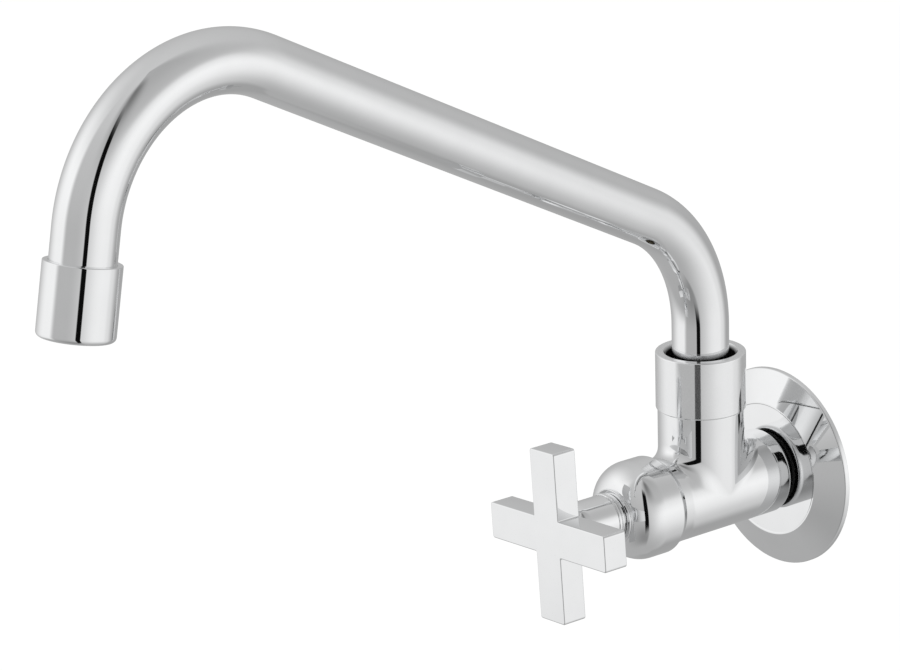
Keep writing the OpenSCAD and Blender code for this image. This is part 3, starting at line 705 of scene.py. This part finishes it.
def inlet_thread(sizes, neck, top, end, angles):
    """Round-crested thread: radius = crest - depth * wave(along / pitch - turn), with
    a smooth wave that fades at both ends, where the crest falls to the neck."""
    fade_length, fall_length = 1 * MM, 1.2 * MM
    along = np.linspace(top, end, 112)[:, None]
    phase = along / sizes.thread_pitch - angles[None, :] / (2 * math.pi)
    wave = 0.5 - 0.5 * np.cos(2 * math.pi * phase)
    wave = 3 * wave**2 - 2 * wave**3
    from_end = np.minimum(top - along, along - end)
    fade = np.clip(from_end / fade_length, 0, 1)
    fall = (sizes.thread_radius - neck) * np.clip(1 - from_end / fall_length, 0, 1)
    return about_wall(sizes.thread_radius - sizes.thread_depth * wave * fade - fall,
                      along, angles[None, :])


def body_grids(s):
    """Grids of the body: turned surfaces, straight rows between them, and the ball's
    path around the foot of the branch."""
    barrel, branch = s.barrel_radius, s.branch_radius

    # Columns of the barrel: at the ball's points of contact in front of and
    # behind the branch, and evenly spaced under it
    half = np.linspace(-math.pi / 2, math.pi / 2, 113)
    columns, reach = [], []
    for turn_by in (half, math.pi - half):
        _, _, deep, x, out, _ = tee_foot(s, turn_by)
        touch = np.arcsin(x / deep)
        spare = np.linspace(touch[-1], 2 * math.pi + touch[0], 82)[1:-1]
        columns.append(np.concatenate([touch, spare]))
        reach.append(np.concatenate([np.abs(out), np.zeros(len(spare))]))
    in_front, behind = columns

    # Rear end, from the barrel over its rounded edge and the spigot that the
    # flange sits on to the thread and its bevelled tail
    rear, tail, step_at = s.rear_at, -body_high[1], -flange_low[1]
    neck, spigot, bevel, water = s.thread_radius - 0.7 * MM, 12.5 * MM, 0.5 * MM, 7 * MM
    rear_end = rounded(
        [(barrel, rear + 4 * MM), (barrel, rear), (spigot, rear), (spigot, step_at),
         (neck, step_at), (neck, 0.6 * MM)],
        [0, s.rear_round / MM, 0, 0.2, 0.1, 0], 12)[16:-13]
    thread = inlet_thread(s, neck, 0.4 * MM, tail + bevel, behind)
    tail_end = rounded(
        [(neck, tail + bevel), (neck - bevel, tail), (water, tail), (water, tail + 1 * MM)],
        [0, 0.15, 0.3, 0], 6)[9:-9]

    # Water way, seat, chamber and front rim, up to the flare's start
    seat_hole, seat_rim, chamber, mouth = 6 * MM, 8 * MM, 10.8 * MM, 10.5 * MM
    seat_at, chamber_at = RISER_AT - 8 * MM, RISER_AT - 10 * MM
    mouth_at, front_at = JOINT_AT - 11.1 * MM, JOINT_AT - s.flare
    inner = rounded(
        [(water, tail + 3 * MM), (water, chamber_at - 2 * MM),
         (seat_hole, chamber_at - 2 * MM), (seat_hole, seat_at), (seat_rim, seat_at),
         (seat_rim, chamber_at), (chamber, chamber_at), (chamber, mouth_at),
         (mouth, mouth_at), (mouth, JOINT_AT), (s.joint_radius, JOINT_AT),
         (barrel, front_at), (barrel, front_at - 5 * MM)],
        [0, 0.1, 0.3, 0.4, 0.4, 0.1, 0.1, 0.1, 0.1, 0.3, 0.05, 12, 0], 8)[11:-11]
    ends = np.concatenate([
        turned(rear_end, behind, about_wall), thread,
        turned(tail_end, behind, about_wall), turned(inner, in_front, about_wall)])
    shares = np.append(np.linspace(0, 0.99, 11), 1)
    rear_half = blend_rows(about_wall(barrel, rear_end[0][1], behind),
                           about_wall(barrel, RISER_AT - reach[1], behind), shares)[::-1]
    front_half = blend_rows(about_wall(barrel, inner[-1][1], in_front),
                            about_wall(barrel, RISER_AT + reach[0], in_front), shares)

    # Rounded foot: the ball's surface between its two points of contact, as
    # the turn of a radius vector from the barrel's normal to the branch's
    whole = np.concatenate([half, half[1:-1] + math.pi])
    ball, wide, deep, x, out, z = tee_foot(s, whole)
    centre = np.stack([x, -RISER_AT - out, z], -1)
    low = np.stack([-x / deep, 0 * x, -z / deep], -1)
    side = np.stack([-x / wide, out / wide, 0 * x], -1)
    angle = np.arccos((low * side).sum(-1))[None, :, None]
    share = np.linspace(0, 1, 21)[:, None, None]
    foot = centre + ball[:, None] * (
        np.sin((1 - share) * angle) * low + np.sin(share * angle) * side) / np.sin(angle)

    # Branch: from the foot up to the shoulder, over its thread and down into
    # the bore that holds the spout's ferrule
    top, gland, bore, floor = body_high[2], 13 * MM, 10.6 * MM, 17.6 * MM
    crown = rounded(
        [(branch, 0), (branch, s.branch_top), (gland, s.branch_top), (gland, top),
         (bore, top), (bore, floor), (0, floor)],
        [0, 0.35, 0.1, 0.4, 0.3, 0.1, 0], 6)[9:-8]
    rise = blend_rows(about_riser(branch, z, whole),
                      about_riser(branch, crown[0, 1], whole),
                      np.append(0, np.linspace(0.01, 1, 9)))
    grids = ends, rear_half, front_half, foot, rise, turned(crown, whole, about_riser)
    return [(grid, False, True) for grid in grids]


class TAP_OT_body(bpy.types.Operator):
    """Makes the body: barrel, branch with its rounded foot, and threaded inlet"""

    bl_idname = "tap.body"
    bl_label = "Body"

    def execute(self, context):
        s = context.scene.tap_body
        # Painted shade, near black and rough, in the crevice between the barrel's rear face
        # and the wall
        piece("body_chrome", body_grids(s), "tap", "chrome", ["tap_body"],
              lambda p: (-p[:, 1] < s.rear_at + 0.3 * MM) & (-p[:, 1] > 0))
        return {"FINISHED"}


class TAP_OT_flange(bpy.types.Operator):
    """Makes the wall flange, a pressed sheet with a cone and a flat face, and its seal"""

    bl_idname = "tap.flange"
    bl_label = "Flange"

    def execute(self, context):
        s = context.scene.tap_flange
        face, sheet, edge, bead = s.face_radius, s.sheet, 0.1 * MM, 0.45 * MM
        profile = rounded(
            [(s.radius, 0), (s.radius, s.rim), (face + bead, s.face_at + edge),
             (face, s.face_at + edge), (face - 0.25 * MM, s.face_at), (s.hole, s.face_at),
             (s.hole, s.face_at - sheet), (face - sheet, s.face_at - sheet),
             (s.radius - sheet, s.rim - sheet * 0.6), (s.radius - sheet, 0)],
            [0.2, 0.7, 0.15, 0.1, 0.1, 0.2, 0.2, 0.8, 0.5, 0.2], 6)
        spun("flange_chrome", profile, about_wall, "tap", "chrome",
             "wall_flange")
        low, high, _ = sizes_of("flange_seal")
        thick, hole = -low[1], 11.08 * MM
        ring = rounded([(high[0], 0), (high[0], thick), (hole, thick), (hole, 0)], 0.4, 5)
        spun("seal_rubber", ring, about_wall, "tap", "seal", "flange_seal",
             count=160)
        return {"FINISHED"}


class TAP_OT_cover(bpy.types.Operator):
    """Makes the bonnet cover: a short barrel, a domed shoulder and a nose ring"""

    bl_idname = "tap.cover"
    bl_label = "Bonnet cover"

    def execute(self, context):
        s = context.scene.tap_cover
        # Dome: a circle of the dome's radius, tangent to the barrel
        face = NOSE_AT - s.nose_rise
        spread = s.nose - s.radius + s.dome
        dome_at = face - math.sqrt(s.dome**2 - spread**2)
        sweep = np.linspace(0, math.asin((face - dome_at) / s.dome), 33)
        dome = np.stack([s.radius - s.dome + s.dome * np.cos(sweep),
                         dome_at + s.dome * np.sin(sweep)], -1)
        # The bonnet's inside, from the nose's hole to the thread over the headpart
        hole, room, thread, mouth = 7.05 * MM, 8.52 * MM, 13.68 * MM, 12 * MM
        front = rounded(
            [tuple(dome[-1] - (0, 1 * MM)), tuple(dome[-1]), (s.nose, NOSE_AT),
             (hole, NOSE_AT), (hole, NOSE_AT - 3.3 * MM), (room, NOSE_AT - 3.3 * MM),
             (room, NOSE_AT - 8.5 * MM), (thread, JOINT_AT + 6.6 * MM), (thread, JOINT_AT),
             (mouth, JOINT_AT), (mouth, JOINT_AT - 1 * MM)],
            [0, 0.12, 0.3, 0.2, 0.1, 0.1, 0.1, 0.1, 0.3, 0, 0], 6)[9:-18]
        rim, seam = context.scene.tap_body.joint_radius, 14.2 * MM
        rear = rounded(
            [(seam, JOINT_AT), (rim, JOINT_AT), (s.radius, JOINT_AT + s.chamfer),
             (s.radius, dome_at), (seam, dome_at)], [0, 0.05, 1.5, 0, 0], 6)[9:27]
        spun("cover_chrome", np.concatenate([front, rear, dome[:-1]]), about_wall, "tap",
             "chrome", "bonnet_cover")
        return {"FINISHED"}


class TAP_OT_nut(bpy.types.Operator):
    """Makes the round spout nut with its bevelled hole"""

    bl_idname = "tap.nut"
    bl_label = "Spout nut"

    def execute(self, context):
        radius = (nut_high[0] - nut_low[0]) / 2
        low, high = nut_low[2], nut_high[2]
        hole, thread, ledge = 11.445 * MM, 13.24 * MM, high - 5.7 * MM
        profile = rounded(
            [(radius, low), (radius, high), (hole + 1 * MM, high), (hole, high - 1.4 * MM),
             (hole, ledge), (thread, ledge), (thread, low)],
            [0.4, 0.55, 0.25, 0.2, 0.2, 0.1, 0.3], 8)
        # Painted shade, near black and rough, in the hole
        spun("nut_chrome", profile, about_riser, "tap", "soft chrome",
             "spout_nut", lambda p: np.hypot(p[:, 0], p[:, 1] + RISER_AT) < hole + 0.1 * MM)
        return {"FINISHED"}


def cross_grid(s):
    """Grid of the cross: rounded outlines, one per row from back to front."""
    end, side = s.span / 2, s.width / 2
    back = FRONT_AT - s.depth
    cos, sin = math.cos(s.closed), math.sin(s.closed)

    def placed(x, y, at):
        """A point of the cross's own plane, turned with the handle."""
        x, y, at = np.broadcast_arrays(x, y, at)
        return np.stack([x * cos - y * sin, -at, x * sin + y * cos], -1)

    # Outline of the cross, drawn in by an inset that follows a quarter circle
    # at the front and rear edges, so that every edge is softly rounded
    quarter = np.linspace(0, math.pi / 2, 7)
    edge_in, edge_up = s.edge * (1 - np.sin(quarter)), s.edge * (1 - np.cos(quarter))
    flat_in = [s.edge + 0.04 * MM]
    inset = np.concatenate([flat_in, edge_in, edge_in[::-1], flat_in])
    at = np.concatenate([[back], back + edge_up, FRONT_AT - edge_up[::-1], [FRONT_AT]])
    quarters = np.array([1, 1j, -1, -1j])[:, None]
    rows = []
    for pull, level in zip(inset, at):
        # Two corners of an arm's end and one between two arms, at four turns
        far, near = end - pull, side - pull
        corners = quarters * [far - 1j * near, far + 1j * near, near + 1j * near]
        radii = np.array([s.corner - pull, s.corner - pull, s.edge + pull] * 4) / MM
        flat = rounded(np.stack([corners.real, corners.imag], -1).reshape(-1, 2), radii, 5)
        rows.append(placed(flat[:, 0], flat[:, 1], level))
    # The flat faces run in to the arms' middle lines
    away_x, away_y = np.abs(flat).T
    long_way, inner = away_x > away_y, np.maximum(away_x, away_y) < side
    middle = np.clip(flat, side - end, end - side)
    mid_x = np.where(long_way & ~inner, middle[:, 0], 0)
    mid_y = np.where(long_way | inner, 0, middle[:, 1])
    faces = [placed(mid_x, mid_y, level)[None] for level in (back, FRONT_AT)]
    return np.concatenate([faces[0], np.array(rows), faces[1]])


def hub_grids(s):
    """Grids of the hub: a plain barrel with a skirt around the clip, a fine ring and
    a bead at its rear end, and a square patch with the set screw's hole."""
    back = FRONT_AT - s.depth
    hub, bore, skirt_at = s.hub, 4.5 * MM, NOSE_AT + 0.15 * MM
    skirt_in, skirt_out, groove, bead = 7.15 * MM, 8 * MM, hub - 0.25 * MM, hub + 0.4 * MM
    lip, lip_at = hub + 0.1 * MM, HUB_AT + 0.5 * MM
    bead_at, bead_end = HUB_AT + 0.85 * MM, HUB_AT + 2.1 * MM
    screw_at = (HUB_AT + back) / 2
    half_patch, sides, around = 4 * MM, 12, 120
    u = np.linspace(-1, 1, sides + 1)
    patch = np.arcsin(half_patch * u / hub)
    under = math.pi - s.closed
    strip = np.linspace(patch[-1], 2 * math.pi + patch[0], around)
    angles = np.concatenate([patch, strip[1:-1]]) + under
    ring = rounded(
        [(bore, HUB_AT), (skirt_in, HUB_AT), (skirt_in, skirt_at), (skirt_out, skirt_at),
         (skirt_out, HUB_AT), (lip, HUB_AT), (lip, lip_at), (groove, lip_at),
         (groove, bead_at), (bead, bead_at), (bead, bead_end), (hub, bead_end),
         (hub, screw_at), (bore, screw_at)],
        [0, 0.1, 0.1, 0.2, 0.1, 0.22, 0.2, 0.1, 0.1, 0.45, 0.45, 0.1, 0, 0], 6)[9:-18]
    low_at, high_at, end_at = screw_at - half_patch, screw_at + half_patch, back + 0.5 * MM
    lower = np.concatenate([
        about_wall(0, HUB_AT, angles)[None], turned(ring, angles, about_wall),
        about_wall(hub, low_at, angles)[None]])
    upper = turned([(hub, high_at), (hub, end_at), (0, end_at)], angles, about_wall)
    rest = blend_rows(about_wall(hub, low_at, strip + under),
                      about_wall(hub, high_at, strip + under), (u + 1) / 2)

    # Patch and hole, as seen from above the screw: rows of points that are drawn
    # in from the square to the hole's circle, then go down its wall to the middle
    # of its floor. The barrel's height over a point is sqrt(hub^2 - x^2).
    v, one = u[:-1], np.ones(sides)
    square = half_patch * np.stack([np.concatenate([v, one, -v, -one]),
                                    np.concatenate([-one, v, one, -v])], -1)
    bearing = (v * math.pi / 4 + np.arange(-1, 3)[:, None] * math.pi / 2).ravel()
    hole, floor = 2.02 * MM, 4.3 * MM
    circle = np.stack([np.cos(bearing), np.sin(bearing)], -1) * hole
    share = np.linspace(0, 1, 9)[:, None, None]
    flat = square * (1 - share) + circle * share
    high = np.sqrt(hub**2 - flat[..., 0]**2)
    wall = floor + (high[-1] - floor) * np.array([0.96, 0.5, 0])[:, None]
    flat = np.concatenate([flat, np.repeat(circle[None], 3, 0), 0 * circle[None]])
    high = np.concatenate([high, wall, np.full((1, len(circle)), floor)])
    aside = flat[..., 0]
    hollow = np.stack([
        aside * math.cos(under) + high * math.sin(under), -(screw_at + flat[..., 1]),
        -aside * math.sin(under) + high * math.cos(under)], -1)
    return [(lower, False, True), (upper, False, True), (rest, False, False),
            (hollow, False, True)]


class TAP_OT_cross(bpy.types.Operator):
    """Makes the cross handle with its hub, bead and set screw's hole"""

    bl_idname = "tap.cross"
    bl_label = "Cross handle"

    def execute(self, context):
        s = context.scene.tap_cross
        piece("cross_chrome", [(cross_grid(s), False, True)], "handle",
              "chrome", ["cross_handle"])
        piece("hub_chrome", hub_grids(s), "handle", "chrome")
        return {"FINISHED"}


def spout_path(s):
    """The spout's middle line: rows of points, at each the direction in towards the
    bend, and the sideways axis that they share. Then the outlet's start and its
    direction down the stream."""
    out = np.array([math.sin(s.turned), -math.cos(s.turned), 0.0])
    up = np.array([0.0, 0.0, 1.0])
    foot = np.array([0.0, -RISER_AT, 0.0])

    # The line in its own upright plane, as (out, up): a riser, an arc of the first
    # bend about a centre straight out of the riser, the straight arm, an arc of the
    # second bend about a centre square below the arm's end, and the outlet
    low_centre = np.array([s.low_bend, s.riser])
    turn_low = np.linspace(0, math.pi / 2 - s.rise, 49)
    low = low_centre + s.low_bend * np.stack([-np.cos(turn_low), np.sin(turn_low)], -1)
    arm_way = np.array([math.cos(s.rise), math.sin(s.rise)])
    arm_in = arm_way[::-1] * (1, -1)
    arm_end = low[-1] + arm_way * s.arm
    high_centre = arm_end + s.high_bend * arm_in
    turn_high = np.linspace(math.pi / 2 - s.rise, math.pi - s.lean, 81)
    high = high_centre + s.high_bend * np.stack([-np.cos(turn_high), np.sin(turn_high)], -1)
    down = np.array([math.sin(s.lean), -math.cos(s.lean)])
    in_housing = 9 * MM
    riser = np.linspace([0, s.foot], [0, s.riser], 12)[:-1]
    arm = np.linspace(low[-1], arm_end, 40)[1:-1]
    outlet = np.linspace(high[-1], high[-1] + down * (s.outlet + in_housing), 8)[1:]
    path = np.concatenate([riser, low, arm, high, outlet])
    inward = np.concatenate([
        0 * riser + (1, 0), (low_centre - low) / s.low_bend, 0 * arm + arm_in,
        (high_centre - high) / s.high_bend, 0 * outlet + down[::-1] * (1, -1)])
    points = foot + path[:, :1] * out + path[:, 1:] * up
    across = inward[:, :1] * out + inward[:, 1:] * up
    start = foot + high[-1][0] * out + high[-1][1] * up
    return points, across, np.cross(out, up), start, down[0] * out + down[1] * up


class TAP_OT_spout(bpy.types.Operator):
    """Makes the bent spout tube"""

    bl_idname = "tap.spout"
    bl_label = "Spout tube"

    def execute(self, context):
        s = context.scene.tap_spout
        points, across, aside, _, _ = spout_path(s)
        # A circle in the plane of the bend's inward direction and the sideways axis,
        # carried along the path outside and back inside
        angles = circle_angles(96)[None, :, None]
        circle = np.cos(angles) * across[:, None] + np.sin(angles) * aside
        outer = points[:, None] + s.radius * circle
        inner = (points[:, None] + (s.radius - s.wall) * circle)[::-1]
        piece("tube_chrome", [(np.concatenate([outer, inner]), True, True)], "spout",
              "chrome", ["spout_tube"])
        return {"FINISHED"}


class TAP_OT_aerator(bpy.types.Operator):
    """Makes the aerator's housing and its woven strainer"""

    bl_idname = "tap.aerator"
    bl_label = "Aerator"

    def execute(self, context):
        s = context.scene.tap_spout
        _, _, aside, start, stream = spout_path(s)
        other = np.cross(stream, aside)

        def at_outlet(down, x, y):
            """Points at a distance down the stream and at places across it."""
            return (start + down[..., None] * stream + x[..., None] * aside
                    + y[..., None] * other)

        def about_outlet(r, down, angle):
            """Points around the outlet's axis, at a distance down the stream."""
            r, down, angle = np.broadcast_arrays(r, down, angle)
            return at_outlet(down, r * np.cos(angle), r * np.sin(angle))

        top, end, radius = s.outlet, s.outlet + s.housing, s.housing_radius
        lip, collar = 0.8 * MM, 2 * MM
        bore, neck, mouth = radius - lip, 9.55 * MM, 8.9 * MM
        profile = rounded(
            [(neck, top), (radius, top), (radius, end), (mouth, end), (mouth, end - collar),
             (bore, end - collar), (bore, top + lip), (neck, top + lip)],
            [0.15, 0.3, 1.5, 0.4, 0.2, 0.1, 0.1, 0.1], 8)
        spun("aerator_chrome", profile, about_outlet, "spout", "chrome",
             "aerator_housing", count=192)

        # Strainer: wires woven over and under each other. Each wire's middle line
        # is a cosine of the pitch that swaps sign from wire to wire, and a ring of
        # wire holds their ends.
        rim, pitch, wire, level = 8.1 * MM, 1 * MM, 0.14 * MM, end - 0.9 * MM
        number = np.arange(-int(rim / pitch), int(rim / pitch) + 1)[:, None]
        y = np.repeat(number * pitch, 97, 1)
        x = np.linspace(-1, 1, 97) * np.sqrt(rim**2 - y**2)
        lift = np.where(number % 2 == 0, wire, -wire) * np.cos(math.pi * x / pitch)
        section = circle_angles(6)
        r_out, r_up = wire * np.cos(section), wire * np.sin(section)
        a, b = x[..., None] + 0 * r_out, y[..., None] + r_out
        over, under = (level + way * lift[..., None] + r_up for way in (1, -1))
        grids = []
        for strand in (at_outlet(over, a, b),
                       at_outlet(under[..., ::-1], b[..., ::-1], a[..., ::-1])):
            cap = strand.mean(2, keepdims=True).repeat(len(section), 2)
            strand = np.concatenate([cap[:, :1], strand, cap[:, -1:]], 1)
            grids += [(one, False, True) for one in strand]
        inside, outside, thick = rim - 0.2 * MM, rim + 0.1 * MM, 0.3 * MM
        hoop = rounded([(inside, level - thick), (outside, level - thick),
                        (outside, level + thick), (inside, level + thick)], 0.08, 3)
        grids.append((turned(hoop, circle_angles(96), about_outlet), True, True))
        piece("aerator_wires", grids, "spout", "steel", ["aerator_mesh"])
        return {"FINISHED"}


class TAP_OT_inner(bpy.types.Operator):
    """Gives the frame's own pieces their finishes"""

    bl_idname = "tap.inner"
    bl_label = "Inner pieces"

    def execute(self, context):
        for kind, names in NODE_FINISHES.items():
            for name in names:
                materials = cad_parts[name].data.materials
                materials.clear()
                materials.append(finish(kind))
        return {"FINISHED"}


class TAP_OT_stage(bpy.types.Operator):
    """Makes the camera, the floor and the soft light"""

    bl_idname = "tap.stage"
    bl_label = "Stage"

    def execute(self, context):
        s, scene = context.scene.tap_stage, context.scene
        scene.view_settings.view_transform = "Standard"
        camera = bpy.data.cameras.new("camera")
        camera.lens, camera.sensor_width = s.lens, SENSOR_WIDTH
        camera.clip_start, camera.clip_end = 0.01, 100
        scene.camera = added("camera", camera)
        scene.camera.matrix_world = (
            Matrix.Translation(s.target) @ Matrix.Rotation(s.azimuth, 4, "Z")
            @ Matrix.Rotation(math.pi / 2 - s.elevation, 4, "X")
            @ Matrix.Rotation(s.roll, 4, "Z") @ Matrix.Translation((0, 0, s.distance)))

        far = 30
        corners = [(far * x, far * y, s.floor)
                   for x, y in ((-1, -1), (1, -1), (1, 1), (-1, 1))]
        floor = flat_sheet("floor", corners, floor_finish(s.centre))
        corners = [(*s.gap_left, s.gap_low), (*s.gap_right, s.gap_low),
                   (*s.gap_right, s.gap_high), (*s.gap_left, s.gap_high)]
        card = flat_sheet("dark_gap", corners, gap_finish())
        card.visible_camera = card.visible_shadow = card.visible_diffuse = False
        scene.world = studio_world()
        for name, place in (("right_box", s.right_box), ("left_box", s.left_box)):
            lamp = bpy.data.lights.new(name, "AREA")
            lamp.shape, lamp.size, lamp.energy = "SQUARE", s.lamp_size, s.lamp_power
            made = added(name, lamp)
            towards = Vector(s.centre) - Vector(place)
            made.matrix_world = Matrix.LocRotScale(
                Vector(place), towards.to_track_quat("-Z", "Y"), None)
            made.visible_glossy = False
        return {"FINISHED"}


class TAP_PT_panel(bpy.types.Panel):
    """Lists the tap's pieces and sizes"""

    bl_idname = "TAP_PT_panel"
    bl_label = "Wall tap"
    bl_space_type = "VIEW_3D"
    bl_region_type = "UI"
    bl_category = "Wall tap"

    def draw(self, context):
        for title, holder, sizes, operators in SECTIONS:
            box = self.layout.box()
            box.label(text=title)
            for key in sizes.__annotations__:
                box.prop(getattr(context.scene, holder), key)
            for operator in operators:
                box.operator(operator.bl_idname)


# The panel's sections: title, the scene's property that holds the sizes, their class,
# and the operators that use them, in the order in which the pieces are made
SECTIONS = (
    ("Finishes", "tap_finishes", Finishes, (TAP_OT_inner,)),
    ("Body", "tap_body", BodySizes, (TAP_OT_body,)),
    ("Flange", "tap_flange", FlangeSizes, (TAP_OT_flange,)),
    ("Bonnet cover and spout nut", "tap_cover", CoverSizes, (TAP_OT_cover, TAP_OT_nut)),
    ("Cross handle", "tap_cross", CrossSizes, (TAP_OT_cross,)),
    ("Spout", "tap_spout", SpoutSizes, (TAP_OT_spout, TAP_OT_aerator)),
    ("Stage", "tap_stage", StageSizes, (TAP_OT_stage,)),
)
OPERATORS = [operator for section in SECTIONS for operator in section[3]]
CLASSES = [*(section[2] for section in SECTIONS), *OPERATORS, TAP_PT_panel]


def register():
    for kind in CLASSES:
        bpy.utils.register_class(kind)
    for _, holder, sizes, _ in SECTIONS:
        setattr(bpy.types.Scene, holder, PointerProperty(type=sizes))


def unregister():
    for _, holder, _, _ in SECTIONS:
        delattr(bpy.types.Scene, holder)
    for kind in reversed(CLASSES):
        bpy.utils.unregister_class(kind)


def main():
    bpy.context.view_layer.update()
    register()
    for operator in OPERATORS:
        group, name = operator.bl_idname.split(".")
        getattr(getattr(bpy.ops, group), name)()


if __name__ == "__main__":
    main()
